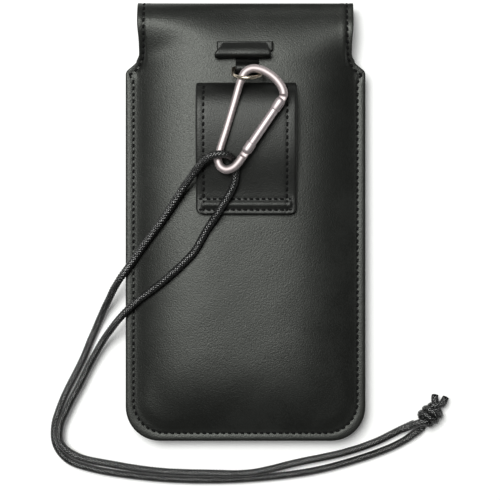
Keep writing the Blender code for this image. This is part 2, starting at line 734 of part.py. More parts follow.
def sweep(name, line, normal, section, color, rough, metal, origin, parent, sides=12):
    """A rod along a planar line; section gives its two half widths."""
    verts, faces = [], []
    n = len(line)
    for i, p in enumerate(line):
        t = (line[min(i + 1, n - 1)] - line[max(i - 1, 0)]).normalized()
        side = t.cross(normal).normalized()
        rs, rn = section(i, p)
        for k in range(sides):
            a = 2 * math.pi * (k + 0.5) / sides
            c, s = math.cos(a), math.sin(a)
            verts.append(tuple(p + side * (rs * c) + normal * (rn * s)))
    for i in range(n - 1):
        for k in range(sides):
            a, b = i * sides + k, i * sides + (k + 1) % sides
            faces.append((a, b, b + sides, a + sides))
    faces.append(tuple(reversed(range(sides))))
    faces.append(tuple(range((n - 1) * sides, n * sides)))
    ob = make_object(name, verts, faces, color, rough=rough, metal=metal, origin=origin, smooth=60)
    ob.parent = parent
    ob.location = (0, 0, 0)
    return ob


def hook_section(i, p):
    d = min((p - P3).length, (p - N3).length)
    if i in (0, len(hook_line) - 1):
        return 0.8, 0.62
    if d < 2.9:
        return 1.4, 0.62
    spine = -13.0 < p.x < 0.5 and 27.0 < p.y < 61.0
    return (1.62, 1.62) if spine else (1.85, 1.8)


HOOK_AXIS = Vector((0.0, 63.4, 29.4))
hook_pivot = pivot("hook_pivot", HOOK_AXIS)
hook_pivot.parent = ring_pivot
hook_pivot.location = (HOOK_AXIS - Vector(RING_BAR)) * MM
hook = sweep("snap_hook_body", hook_line, HOOK_N, hook_section, STEEL, 0.3, 1.0, HOOK_AXIS, hook_pivot)
PIN_R = 0.45


def pin(name, centre, half, r, parent, origin, color=STEEL, sides=12):
    line = [centre - HOOK_N * half, centre + HOOK_N * half]
    side = GATE_DIR
    other = HOOK_N.cross(side).normalized()
    verts, faces = [], []
    for p in line:
        for k in range(sides):
            a = 2 * math.pi * k / sides
            verts.append(tuple(p + side * (r * math.cos(a)) + other * (r * math.sin(a))))
    for k in range(sides):
        faces.append((k, (k + 1) % sides, (k + 1) % sides + sides, k + sides))
    faces.append(tuple(reversed(range(sides))))
    faces.append(tuple(range(sides, 2 * sides)))
    ob = make_object(name, verts, faces, color, rough=0.3, metal=1.0, origin=origin)
    ob.parent = parent
    ob.location = (0, 0, 0)
    return ob


cut(hook, round_cutter("hook_pivot_hole", PIN_R + 0.2, 6.0, P3, HOOK_N, 12))
cut(hook, round_cutter("hook_latch_hole", PIN_R + 0.2, 6.0, N3, HOOK_N, 12))
pin("gate_pivot_pin", P3, 2.0, PIN_R, hook_pivot, HOOK_AXIS)
pin("gate_latch_pin", N3, 0.8, PIN_R, hook_pivot, HOOK_AXIS)

# gate: a tube with a forked foot on the pivot and a slotted head on the latch
gate_pivot = pivot("gate_pivot", P3)
gate_pivot.parent = hook_pivot
gate_pivot.location = (P3 - HOOK_AXIS) * MM
GATE_PROFILE = [(-1.6, 0.9), (-1.2, 1.5), (-0.6, 1.95), (0.2, 2.18), (3.6, 2.18), (4.1, 1.9), (GATE_L - 4.3, 1.9),
                (GATE_L - 3.8, 2.18), (GATE_L + 0.2, 2.18), (GATE_L + 1.0, 2.0), (GATE_L + 1.6, 1.4)]


def gate_turned(name, profile, color, sides=16, base=None):
    other = HOOK_N.cross(GATE_DIR).normalized()
    b = base or P3
    verts, faces = [], []
    for s, r in profile:
        for k in range(sides):
            a = 2 * math.pi * (k + 0.5) / sides
            verts.append(tuple(b + GATE_DIR * s + HOOK_N * (r * math.cos(a)) + other * (r * math.sin(a))))
    for j in range(len(profile) - 1):
        for k in range(sides):
            a, c = j * sides + k, j * sides + (k + 1) % sides
            faces.append((a, c, c + sides, a + sides))
    faces.append(tuple(reversed(range(sides))))
    faces.append(tuple(range((len(profile) - 1) * sides, len(profile) * sides)))
    ob = make_object(name, verts, faces, color, rough=0.28, metal=1.0, origin=P3, smooth=40)
    ob.parent = gate_pivot
    ob.location = (0, 0, 0)
    return ob


gate = gate_turned("gate_tube", GATE_PROFILE, STEEL)
gate_rot = Matrix((HOOK_N.cross(GATE_DIR), GATE_DIR, HOOK_N)).transposed().to_euler()
cut(gate, cutter("gate_fork_slot", (8.0, 6.4, 1.95), P3 + GATE_DIR * 0.6, gate_rot))
cut(gate, cutter("gate_head_slot", (8.0, 6.4, 1.95), P3 + GATE_DIR * (GATE_L - 0.6), gate_rot))
cut(gate, round_cutter("gate_bore", 1.35, GATE_L - 6.0, P3 + GATE_DIR * (GATE_L / 2), GATE_DIR, 16))
cut(gate, round_cutter("gate_pin_hole", PIN_R + 0.2, 8.0, P3, HOOK_N, 12))
gate_turned("gate_plunger", [(4.3, 0.7), (4.7, 1.0), (7.2, 1.0)], (0.6, 0.58, 0.5), sides=12)
other_axis = HOOK_N.cross(GATE_DIR).normalized()
coil = []
for k in range(0, 61):
    a = 2 * math.pi * k / 10.0
    coil.append(P3 + GATE_DIR * (7.75 + 12.5 * k / 60.0) + HOOK_N * (0.8 * math.cos(a)) + other_axis * (0.8 * math.sin(a)))
curve_tube("gate_spring", coil, 0.17, STEEL, 0.4, 1.0, P3, gate_pivot, res=0)

# ---- lanyard cord ----------------------------------------------------------
# One length of braided cord: out of the knot, round the foot of the pouch,
# up over its edge, over the hook's spine and under its foot, then back.
CORD_R = 1.8
CORD_ROUTE = [
    (77.6, -93.4, 2.9), (71.9, -97.5, 2.0), (65.1, -101.0, 1.9), (51.1, -106.1, 1.9), (30.1, -111.6, 1.9),
    (2.0, -115.0, 1.9), (-24.0, -115.6, 1.9), (-44.9, -114.3, 1.9), (-68.9, -110.6, 1.9), (-79.9, -106.5, 1.9),
    (-85.1, -99.9, 1.9), (-85.8, -91.5, 1.9), (-81.8, -79.0, 1.9), (-76.6, -68.4, 1.9), (-73.2, -61.6, 1.9),
    (-69.4, -52.4, 1.9), (-67.2, -47.5, 2.2), (-64.3, -41.0, 4.2), (-61.5, -35.6, 7.2), (-58.9, -30.6, 10.0),
    (-55.8, -25.6, 13.1), (-52.2, -20.6, 14.0), (-47.6, -14.2, 13.8), (-44.4, -9.8, 15.2), (-40.6, -4.8, 16.9),
    (-36.3, 0.9, 18.9), (-32.0, 7.2, 20.6), (-27.7, 13.6, 22.9), (-23.1, 19.8, 26.4), (-18.7, 25.1, 30.2),
    (-14.9, 27.8, 32.6), (-11.3, 28.6, 33.3), (-8.3, 28.5, 32.4), (-6.3, 27.5, 30.0), (-5.1, 25.4, 27.6),
    (-4.2, 22.4, 26.9), (-4.2, 19.8, 26.3), (-5.2, 15.4, 25.0), (-8.6, 9.2, 24.2), (-12.5, 3.1, 23.7),
    (-16.9, -3.5, 20.9), (-22.4, -13.0, 20.1), (-29.0, -19.8, 19.9), (-35.0, -25.1, 19.0), (-41.0, -29.9, 16.4),
    (-46.6, -34.0, 14.2), (-51.4, -38.2, 14.4), (-55.6, -42.6, 13.8), (-59.4, -47.2, 10.8), (-63.9, -53.4, 7.0),
    (-69.6, -63.4, 5.0), (-73.8, -71.9, 5.0), (-79.2, -82.3, 5.1), (-82.9, -91.5, 5.2), (-82.6, -98.6, 5.2),
    (-75.9, -104.3, 4.9), (-58.9, -108.4, 4.3), (-38.1, -111.3, 4.9), (-16.9, -112.1, 4.9), (2.0, -112.0, 5.0),
    (23.1, -107.6, 3.2), (44.2, -103.2, 2.4), (58.1, -98.6, 2.1), (69.4, -93.0, 2.6), (75.6, -89.9, 4.0)]


def cord_points(route):
    """A smooth curve through the route, finer where it bends."""
    fine = smooth_path(route, 1.0)
    out = [fine[0]]
    run = 0.0
    for i in range(1, len(fine) - 1):
        a, b, c = fine[max(i - 4, 0)], fine[i], fine[min(i + 4, len(fine) - 1)]
        turn = (b - a).angle(c - b, 0.0) if (b - a).length > 0 and (c - b).length > 0 else 0.0
        want = max(3.3, min(9.0, 3.9 / max(turn, 0.05)))
        run += (fine[i] - fine[i - 1]).length
        if run >= want:
            out.append(b)
            run = 0.0
    if (out[-1] - fine[-1]).length < 2.5:
        out.pop()
    out.append(fine[-1])
    return out


cord_line = cord_points(CORD_ROUTE)
curve_tube("lanyard_cord", cord_line, CORD_R, (0.015, 0.015, 0.016), 0.8, 0.0, HOOK_AXIS, hook_pivot)
KNOT = Vector((82.5, -86.0, 4.6))
KNOT_R = (6.6, 5.6, 4.3)


def knot_solid():
    verts, faces = [], []
    rings, sides = 8, 16
    verts.append(tuple(KNOT + Vector((0, 0, -KNOT_R[2]))))
    for j in range(1, rings):
        b = -math.pi / 2 + math.pi * j / rings
        for k in range(sides):
            a = 2 * math.pi * k / sides
            lump = 1.0 + 0.05 * math.cos(3 * a + 2 * b)
            verts.append(tuple(KNOT + Vector((KNOT_R[0] * math.cos(b) * math.cos(a) * lump,
                                              KNOT_R[1] * math.cos(b) * math.sin(a) * lump,
                                              KNOT_R[2] * math.sin(b)))))
    verts.append(tuple(KNOT + Vector((0, 0, KNOT_R[2]))))
    for k in range(sides):
        faces.append((0, 1 + (k + 1) % sides, 1 + k))
    for j in range(rings - 2):
        for k in range(sides):
            a, b = 1 + j * sides + k, 1 + j * sides + (k + 1) % sides
            faces.append((a, b, b + sides, a + sides))
    top = len(verts) - 1
    base = 1 + (rings - 2) * sides
    for k in range(sides):
        faces.append((top, base + k, base + (k + 1) % sides))
    ob = make_object("cord_knot", verts, faces, (0.015, 0.015, 0.016), rough=0.8, origin=HOOK_AXIS)
    ob.parent = hook_pivot
    ob.location = (0, 0, 0)


knot_solid()
curve_tube("cord_tail_long", [(83.3, -78.4, 3.6), (84.2, -77.3, 3.2), (85.4, -74.6, 2.3)], CORD_R, (0.015, 0.015, 0.016),
           0.8, 0.0, HOOK_AXIS, hook_pivot)
curve_tube("cord_tail_short", [(88.6, -80.2, 3.6), (89.4, -79.0, 3.0), (90.8, -76.6, 2.2)], CORD_R, (0.015, 0.015, 0.016),
           0.8, 0.0, HOOK_AXIS, hook_pivot)
bpy.context.view_layer.update()
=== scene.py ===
# Looks of the leather belt pouch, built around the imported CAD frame.
import math
import random

import bmesh
import bpy
import numpy as np
from mathutils import Matrix, Vector


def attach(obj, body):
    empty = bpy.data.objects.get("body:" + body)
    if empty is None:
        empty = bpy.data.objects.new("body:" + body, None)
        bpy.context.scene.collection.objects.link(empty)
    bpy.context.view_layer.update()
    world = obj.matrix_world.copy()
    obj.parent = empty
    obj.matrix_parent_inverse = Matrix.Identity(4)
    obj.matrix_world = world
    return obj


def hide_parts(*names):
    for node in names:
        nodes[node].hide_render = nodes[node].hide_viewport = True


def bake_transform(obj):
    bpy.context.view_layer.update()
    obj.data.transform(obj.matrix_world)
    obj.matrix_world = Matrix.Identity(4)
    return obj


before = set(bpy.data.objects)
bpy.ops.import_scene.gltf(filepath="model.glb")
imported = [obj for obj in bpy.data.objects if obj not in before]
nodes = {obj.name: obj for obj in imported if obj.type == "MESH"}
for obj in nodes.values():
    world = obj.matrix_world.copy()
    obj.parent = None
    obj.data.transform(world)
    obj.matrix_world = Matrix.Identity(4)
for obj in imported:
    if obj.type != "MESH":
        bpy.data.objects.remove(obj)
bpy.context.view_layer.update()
scene = bpy.context.scene
MM = 0.001

# ---------------------------------------------------------------- camera ----
cam_data = bpy.data.cameras.new("camera")
cam_data.lens = 100.0
cam_data.sensor_width = 36.0
cam_data.clip_start = 0.05
cam_data.clip_end = 20.0
camera = bpy.data.objects.new("camera", cam_data)
scene.collection.objects.link(camera)
camera.location = (0.00198, -0.01232, 0.626)
camera.rotation_euler = (0.0, 0.0, 0.0)
scene.camera = camera
scene.view_settings.view_transform = "Standard"

# ------------------------------------------------------- shared dimensions --
HALF_W, Y_BOT, Y_TOP, CORNER_R = 53.0, -96.8, 96.8, 15.0
SHOULDER_Y, NECK_W = 65.6, 47.5
LEATHER, FLAP_T, LINING, GAP = 1.8, 1.6, 0.7, 0.3
RIM_TOP, RIM_BOT, Z_BACK, FOLD_R = 10.95, 7.05, 18.0, 6.5
SEAM_IN, FLAP_END_Y, MOUTH_Y, MOUTH_DIP = 3.4, 27.0, 70.0, 5.0
FLAP_SEAM_X = 44.7
YC = Y_TOP - FOLD_R
CORD_R = 1.8


def sm(a, b, v):
    t = np.clip((np.asarray(v, float) - a) / (b - a), 0, 1)
    return t * t * (3 - 2 * t)


# ------------------------------------------------------------- materials ----
def new_material(name):
    m = bpy.data.materials.new(name)
    m.use_nodes = True
    nt = m.node_tree
    b = nt.nodes["Principled BSDF"]
    return m, nt, b


def add(nt, kind, **values):
    n = nt.nodes.new(kind)
    for k, v in values.items():
        if k in n.inputs:
            n.inputs[k].default_value = v
        else:
            setattr(n, k, v)
    return n


def ramp(nt, fac, stops):
    r = nt.nodes.new("ShaderNodeValToRGB")
    el = r.color_ramp.elements
    while len(el) < len(stops):
        el.new(0.5)
    for e, (p, c) in zip(el, stops):
        e.position = p
        e.color = (*c, 1) if len(c) == 3 else c
    nt.links.new(fac, r.inputs["Fac"])
    return r


def leather_material(name, base, rough=0.46, grain=1.0, tint=(0.97, 1.0, 0.94), spec=0.44, scale=1900.0, worn=0.0):
    """Pigmented leather: fine pebbled grain, soft sheen changes, faint mottling."""
    m, nt, b = new_material(name)
    L = nt.links
    tc = add(nt, "ShaderNodeTexCoord")
    big = add(nt, "ShaderNodeTexNoise", Scale=38.0, Detail=4.0, Roughness=0.6)
    L.new(tc.outputs["Object"], big.inputs["Vector"])
    fine = add(nt, "ShaderNodeTexNoise", Scale=scale * 0.95, Detail=3.0, Roughness=0.65)
    L.new(tc.outputs["Object"], fine.inputs["Vector"])
    cells = add(nt, "ShaderNodeTexVoronoi", Scale=scale, feature="F1")
    L.new(tc.outputs["Object"], cells.inputs["Vector"])
    dark = tuple(c * 0.72 for c in base)
    light = tuple(min(1.0, c * 1.5 + 0.002) for c in base)
    mix_f = add(nt, "ShaderNodeMath", operation="MULTIPLY_ADD")
    L.new(fine.outputs["Fac"], mix_f.inputs[0])
    mix_f.inputs[1].default_value = 0.7
    L.new(big.outputs["Fac"], mix_f.inputs[2])
    col = ramp(nt, mix_f.outputs[0], [(0.55, dark), (0.85, base), (1.0, light)])
    L.new(col.outputs["Color"], b.inputs["Base Color"])
    rr = add(nt, "ShaderNodeMapRange")
    rr.inputs["From Min"].default_value = 0.3
    rr.inputs["From Max"].default_value = 0.7
    rr.inputs["To Min"].default_value = rough - 0.05
    rr.inputs["To Max"].default_value = rough + 0.06
    L.new(fine.outputs["Fac"], rr.inputs["Value"])
    L.new(rr.outputs["Result"], b.inputs["Roughness"])
    hh = add(nt, "ShaderNodeMath", operation="MULTIPLY_ADD")
    L.new(cells.outputs["Distance"], hh.inputs[0])
    hh.inputs[1].default_value = -0.6
    L.new(fine.outputs["Fac"], hh.inputs[2])
    bump = add(nt, "ShaderNodeBump", Strength=0.42 * grain, Distance=0.0002)
    L.new(hh.outputs[0], bump.inputs["Height"])
    slow = add(nt, "ShaderNodeBump", Strength=0.035, Distance=0.003)
    L.new(big.outputs["Fac"], slow.inputs["Height"])
    L.new(slow.outputs["Normal"], bump.inputs["Normal"])
    L.new(bump.outputs["Normal"], b.inputs["Normal"])
    b.inputs["Specular IOR Level"].default_value = spec
    b.inputs["Specular Tint"].default_value = (*tint, 1)
    m.diffuse_color = (*base, 1)
    return m


def metal_material(name, color, rough, scratch=0.04, scale=900.0, bump_s=0.02):
    m, nt, b = new_material(name)
    L = nt.links
    tc = add(nt, "ShaderNodeTexCoord")
    n = add(nt, "ShaderNodeTexNoise", Scale=scale, Detail=4.0, Roughness=0.6)
    L.new(tc.outputs["Object"], n.inputs["Vector"])
    rr = add(nt, "ShaderNodeMapRange")
    rr.inputs["To Min"].default_value = max(0.02, rough - scratch)
    rr.inputs["To Max"].default_value = rough + scratch
    L.new(n.outputs["Fac"], rr.inputs["Value"])
    L.new(rr.outputs["Result"], b.inputs["Roughness"])
    c = ramp(nt, n.outputs["Fac"], [(0.3, tuple(v * 0.9 for v in color)), (0.7, color)])
    L.new(c.outputs["Color"], b.inputs["Base Color"])
    bump = add(nt, "ShaderNodeBump", Strength=bump_s, Distance=0.0002)
    L.new(n.outputs["Fac"], bump.inputs["Height"])
    L.new(bump.outputs["Normal"], b.inputs["Normal"])
    b.inputs["Metallic"].default_value = 1.0
    m.diffuse_color = (*color, 1)
    return m


def thread_material(name, color, rough=0.55, scale=2600.0, sheen=0.0, spec=0.4):
    m, nt, b = new_material(name)
    L = nt.links
    tc = add(nt, "ShaderNodeTexCoord")
    w = add(nt, "ShaderNodeTexNoise", Scale=scale, Detail=2.0, Roughness=0.6)
    L.new(tc.outputs["Object"], w.inputs["Vector"])
    c = ramp(nt, w.outputs["Fac"], [(0.35, tuple(v * 0.55 for v in color)), (0.7, tuple(min(1, v * 1.9) for v in color))])
    L.new(c.outputs["Color"], b.inputs["Base Color"])
    bump = add(nt, "ShaderNodeBump", Strength=0.35, Distance=0.0002)
    L.new(w.outputs["Fac"], bump.inputs["Height"])
    L.new(bump.outputs["Normal"], b.inputs["Normal"])
    b.inputs["Roughness"].default_value = rough
    b.inputs["Sheen Weight"].default_value = sheen
    b.inputs["Specular IOR Level"].default_value = spec
    m.diffuse_color = (*color, 1)
    return m


def woven_material(name, color, scale=1600.0):
    """Fine cloth: two sets of ribs crossing, for the linings and the ribbon."""
    m, nt, b = new_material(name)
    L = nt.links
    tc = add(nt, "ShaderNodeTexCoord")
    wx = add(nt, "ShaderNodeTexWave", Scale=scale * 0.16, Distortion=0.4, Detail=1.0)
    wx.bands_direction = "X"
    wy = add(nt, "ShaderNodeTexWave", Scale=scale * 0.16, Distortion=0.4, Detail=1.0)
    wy.bands_direction = "Y"
    L.new(tc.outputs["Object"], wx.inputs["Vector"])
    L.new(tc.outputs["Object"], wy.inputs["Vector"])
    mul = add(nt, "ShaderNodeMath", operation="ADD")
    L.new(wx.outputs["Fac"], mul.inputs[0])
    L.new(wy.outputs["Fac"], mul.inputs[1])
    c = ramp(nt, mul.outputs[0], [(0.2, tuple(v * 0.5 for v in color)), (0.9, tuple(min(1, v * 1.5) for v in color))])
    L.new(c.outputs["Color"], b.inputs["Base Color"])
    bump = add(nt, "ShaderNodeBump", Strength=0.4, Distance=0.0002)
    L.new(mul.outputs[0], bump.inputs["Height"])
    L.new(bump.outputs["Normal"], b.inputs["Normal"])
    b.inputs["Roughness"].default_value = 0.85
    b.inputs["Sheen Weight"].default_value = 0.35
    m.diffuse_color = (*color, 1)
    return m


M_LEATHER = leather_material("shell_leather", (0.0070, 0.0074, 0.0068), rough=0.40)
M_STRAP = leather_material("strap_leather", (0.0066, 0.0069, 0.0064), rough=0.42, grain=1.0, tint=(0.98, 1.0, 0.96), spec=0.36, scale=1900.0)
M_EDGE = leather_material("edge_paint", (0.008, 0.008, 0.008), rough=0.5, grain=0.5, scale=2600.0)
M_LINING = woven_material("lining_cloth", (0.018, 0.018, 0.019))
M_RIBBON = woven_material("ribbon_weave", (0.012, 0.012, 0.013), 2400.0)
M_THREAD = thread_material("bonded_thread", (0.0025, 0.0025, 0.0025), rough=0.7, spec=0.15)
M_CORD = thread_material("cord_yarn", (0.0038, 0.0038, 0.0039), rough=0.26, scale=3400.0, spec=1.0)
M_CORE = thread_material("cord_core", (0.0015, 0.0015, 0.0015), rough=0.9, scale=3000.0, spec=0.05)
M_HOOK = metal_material("hook_silver", (0.56, 0.49, 0.495), 0.58)
M_GATE = metal_material("gate_silver", (0.60, 0.53, 0.545), 0.54)
M_RING = metal_material("ring_plate", (0.62, 0.55, 0.44), 0.28)
M_PIN = metal_material("pin_steel", (0.30, 0.29, 0.28), 0.35)
M_BRASS = metal_material("plunger_brass", (0.72, 0.56, 0.28), 0.3)
M_NICKEL = metal_material("magnet_nickel", (0.62, 0.61, 0.60), 0.25)


# --------------------------------------------------------------- meshes -----
def mesh_object(name, verts, faces, mat, smooth=True, sharp=None):
    me = bpy.data.meshes.new(name)
    v = (np.asarray(verts, float) * MM).tolist()
    me.from_pydata(v, [], [list(map(int, f)) for f in faces])
    bm = bmesh.new()
    bm.from_mesh(me)
    bmesh.ops.recalc_face_normals(bm, faces=bm.faces)
    bm.to_mesh(me)
    bm.free()
    if smooth:
        me.shade_smooth()
    if sharp is not None:
        me.set_sharp_from_angle(angle=math.radians(sharp))
    me.materials.append(mat)
    ob = bpy.data.objects.new(name, me)
    scene.collection.objects.link(ob)
    return ob


def close_surface(name, top, bottom, faces, mat, edge_mat=None, round_edge=0.35, sharp=60, side_steps=3, flat_at=None):
    """A sheet of leather: two faces and a slightly rounded edge, in its own edge material when one is given."""
    top = np.asarray(top, float)
    bottom = np.asarray(bottom, float)
    n = len(top)
    count = set()
    for f in faces:
        for a, b in zip(f, list(f[1:]) + [f[0]]):
            count.add((a, b))
    border = [(a, b) for (a, b) in count if (b, a) not in count]
    verts = [top, bottom]
    out = [list(f) for f in faces] + [[i + n for i in reversed(f)] for f in faces]
    base = 2 * n
    rows = {}
    nxt = {}
    # outward direction in the sheet's plane at each border point
    outward = {}
    for a, b in border:
        t = top[b] - top[a]
        up = top[a] - bottom[a]
        o = np.cross(t, up)
        l = np.linalg.norm(o)
        if l > 1e-9:
            o = o / l
        for i in (a, b):
            outward[i] = outward.get(i, 0) + o
    extra = []
    for i, o in outward.items():
        l = np.linalg.norm(o)
        o = o / l if l > 1e-9 else o
        rows[i] = []
        for s in range(1, side_steps + 1):
            f = s / (side_steps + 1)
            swell = math.sin(math.pi * f) * round_edge
            if flat_at is not None and flat_at(top[i]):
                swell = 0.0
            extra.append(top[i] + (bottom[i] - top[i]) * f + o * swell)
            rows[i].append(base)
            base += 1
    if extra:
        verts.append(np.array(extra))
    side_faces = []
    for a, b in border:
        ra = [a] + rows[a] + [a + n]
        rb = [b] + rows[b] + [b + n]
        for k in range(len(ra) - 1):
            side_faces.append([rb[k], ra[k], ra[k + 1], rb[k + 1]])
    first_side = len(out)
    out += side_faces
    ob = mesh_object(name, np.concatenate(verts), out, mat, sharp=sharp)
    if edge_mat is not None:
        ob.data.materials.append(edge_mat)
        for p in ob.data.polygons[first_side:]:
            p.material_index = 1
    return ob


CORNER_N, BOTTOM_N = 14, 28


def neck_w(y):
    """Half width of the leather above the shoulder, with its small fillet."""
    y = np.asarray(y, float)
    w = np.where(y < 66.9, HALF_W - 0.35 * sm(SHOULDER_Y, 66.9, y), 0)
    slope = (HALF_W - 0.35) + (48.3 - (HALF_W - 0.35)) * np.clip((y - 66.9) / (70.3 - 66.9), 0, 1)
    w = np.where(y >= 66.9, slope, w)
    fil = 48.3 + (46.9 - 48.3) * sm(70.3, 74.0, y)
    w = np.where(y >= 70.3, fil, w)
    top = 46.9 + (NECK_W - 46.9) * sm(78.0, 88.0, y)
    return np.where(y >= 76.0, top, w)


def u_ring(d, stations, y_bot=Y_BOT):
    left = []
    rc = CORNER_R - 0.34 * min(d, 9.0) + 0.55 * max(0.0, d - 9.0)
    rc = min(rc, HALF_W - d - 0.3)
    yb = y_bot + d
    low, bend = stations[-1], -20.0
    for y in stations:
        if y < bend:
            # inner rings end higher, so their lower stations close up
            y = bend + (y - bend) * (yb + rc - bend) / (low - bend)
        if y > SHOULDER_Y:
            w = float(neck_w(y))
            w = w - d * (w - (HALF_W - 9.5)) / 9.5 if d < 9.5 else HALF_W - d
        else:
            w = HALF_W - d
        left.append((-w, y))
    cx, cy = -(HALF_W - d) + rc, yb + rc
    for k in range(1, CORNER_N):
        a = math.pi + (math.pi / 2) * k / (CORNER_N - 1)
        left.append((cx + rc * math.cos(a), cy + rc * math.sin(a)))
    for k in range(1, BOTTOM_N):
        t = k / (2 * BOTTOM_N - 1)
        left.append((cx + (-2 * cx) * t, yb))
    return left + [(-x, y) for x, y in reversed(left)]


def ring_surface(insets, stations, y_shift=None):
    pts, faces, n = [], [], None
    for d in insets:
        r = u_ring(d, stations)
        n = len(r)
        for x, y in r:
            if y_shift is not None:
                y = y_shift(x, y)
            pts.append((x, y, d))
    for k in range(len(insets) - 1):
        for i in range(n - 1):
            a, b = k * n + i, k * n + i + 1
            faces.append([a, b, b + n, a + n])
    base = (len(insets) - 1) * n
    last = len(stations) + CORNER_N - 2
    for m in range(last):
        faces.append([base + m, base + m + 1, base + n - 2 - m, base + n - 1 - m])
    faces.append([base + i for i in range(last, n - last)])
    return np.array(pts), faces, n


def pillow(d):
    """The moulded back swells from just inside its seam: steeply at first, then almost flat."""
    t = np.clip((np.asarray(d, float) - 5.0) / 40.0, 0, 1)
    soft = 0.10 * np.exp(-((np.asarray(d, float) - 5.0) / 1.4) ** 2)
    return (Z_BACK - RIM_TOP) * (1 - (1 - t) ** 3) + soft


def top_start(x):
    return 87.0 - 15.0 * sm(-44.0, 4.0, x)


def top_drop(x, y):
    """The leather starts to turn over before the fold, earlier on one side."""
    y0 = top_start(x)
    full = 0.55 + 2.6 * sm(-42.0, 2.0, x)
    t = np.clip((np.asarray(y, float) - y0) / (YC - y0), 0, 1)
    return full * t * t


def back_z(x, y, d):
    x, y, d = np.asarray(x, float), np.asarray(y, float), np.asarray(d, float)
    height = Z_BACK - RIM_TOP
    both = pillow(HALF_W - np.abs(x)) * pillow(np.maximum(y - Y_BOT, 0.0)) / height
    w = sm(5.5, 15.0, d)
    low = RIM_TOP + pillow(d) * (1 - w) + both * w
    high = Z_BACK - 0.35 * (np.abs(x) / NECK_W) ** 2
    dent = 0.55 * np.exp(-(((x + 36.0) * 0.9 + (y - 76.5) * 0.45) / 9.0) ** 2 - (((y - 76.5) * 0.9 - (x + 36.0) * 0.3) / 4.6) ** 2)
    return low + (high - low) * sm(66.5, 88.5, y) - top_drop(x, y) - dent


def front_z(x, y, d):
    deep = RIM_BOT - 3.0 * sm(0.0, 22.0, y)
    flat = 0.92 * sm(8.8, 17.8, d) + 0.08 * sm(15.0, 34.0, d)
    return RIM_BOT - deep * flat


# seam lines in plan, left side; the right side mirrors them
BODY_SEAM_LEFT = [(-51.9, 65.7), (-50.7, 64.2), (-49.85, 62.4), (-49.6, 60.0)]
FLAP_SEAM_LEFT = [(-44.7, 88.5), (-44.9, 80.0), (-45.1, 75.5), (-45.7, 72.4), (-46.9, 69.4), (-48.7, 67.0), (-51.0, 65.5),
                  (-52.2, 65.2)]


def resample(pts, step):
    pts = [np.asarray(p, float) for p in pts]
    seg = [np.linalg.norm(b - a) for a, b in zip(pts, pts[1:])]
    total = sum(seg)
    n = max(1, int(round(total / step)))
    out, k, run = [], 0, 0.0
    for i in range(n + 1):
        want = total * i / n
        while k < len(seg) - 1 and run + seg[k] < want:
            run += seg[k]
            k += 1
        f = (want - run) / seg[k] if seg[k] > 0 else 0
        out.append(pts[k] + (pts[k + 1] - pts[k]) * min(max(f, 0), 1))
    return out


def catmull(pts, per=12):
    P = [np.asarray(p, float) for p in pts]
    P = [2 * P[0] - P[1]] + P + [2 * P[-1] - P[-2]]
    out = []
    for i in range(1, len(P) - 2):
        p0, p1, p2, p3 = P[i - 1], P[i], P[i + 1], P[i + 2]
        t0 = 0.0
        t1 = t0 + max(np.linalg.norm(p1 - p0), 1e-9) ** 0.5
        t2 = t1 + max(np.linalg.norm(p2 - p1), 1e-9) ** 0.5
        t3 = t2 + max(np.linalg.norm(p3 - p2), 1e-9) ** 0.5
        for k in range(per):
            t = t1 + (t2 - t1) * k / per
            a1 = p0 * ((t1 - t) / (t1 - t0)) + p1 * ((t - t0) / (t1 - t0))
            a2 = p1 * ((t2 - t) / (t2 - t1)) + p2 * ((t - t1) / (t2 - t1))
            a3 = p2 * ((t3 - t) / (t3 - t2)) + p3 * ((t - t2) / (t3 - t2))
            b1 = a1 * ((t2 - t) / (t2 - t0)) + a2 * ((t - t0) / (t2 - t0))
            b2 = a2 * ((t3 - t) / (t3 - t1)) + a3 * ((t - t1) / (t3 - t1))
            out.append(b1 * ((t2 - t) / (t2 - t1)) + b2 * ((t - t1) / (t2 - t1)))
    out.append(P[-2].copy())
    return out


def body_seam_plan():
    ring = u_ring(SEAM_IN, [60.0 - 4.0 * i for i in range(35)] + [Y_BOT + CORNER_R])
    left = [p for p in catmull(BODY_SEAM_LEFT, 6)][:-1]
    right = [(-p[0], p[1]) for p in reversed(left)]
    return [np.array(p) for p in left] + [np.array(p) for p in ring] + [np.array(p) for p in right]


BODY_SEAM = body_seam_plan()
NECK_SEAMS = [[np.array(p) for p in catmull(FLAP_SEAM_LEFT, 8)],
              [np.array((-p[0], p[1])) for p in catmull(FLAP_SEAM_LEFT, 8)]]


def seam_distance(x, y, lines):
    """Distance in plan from each point to the nearest seam line."""
    best = np.full(len(x), 99.0)
    P = np.stack([x, y], 1)
    for line in lines:
        L = np.array(line)
        for a, b in zip(L[:-1], L[1:]):
            ab = b - a
            l2 = float(ab @ ab)
            if l2 < 1e-12:
                continue
            near = np.abs(P[:, 1] - (a[1] + b[1]) / 2) < abs(ab[1]) / 2 + 3
            near &= np.abs(P[:, 0] - (a[0] + b[0]) / 2) < abs(ab[0]) / 2 + 3
            if not near.any():
                continue
            q = P[near]
            t = np.clip(((q - a) @ ab) / l2, 0, 1)
            dd = np.linalg.norm(q - a - t[:, None] * ab, axis=1)
            best[near] = np.minimum(best[near], dd)
    return best


def groove(dist, depth=0.28, width=0.75):
    """A sunk seam with the leather swelling a little on both sides."""
    return -depth * np.exp(-(dist / width) ** 2) + 0.10 * np.exp(-((dist - 2.0) / 0.9) ** 2)


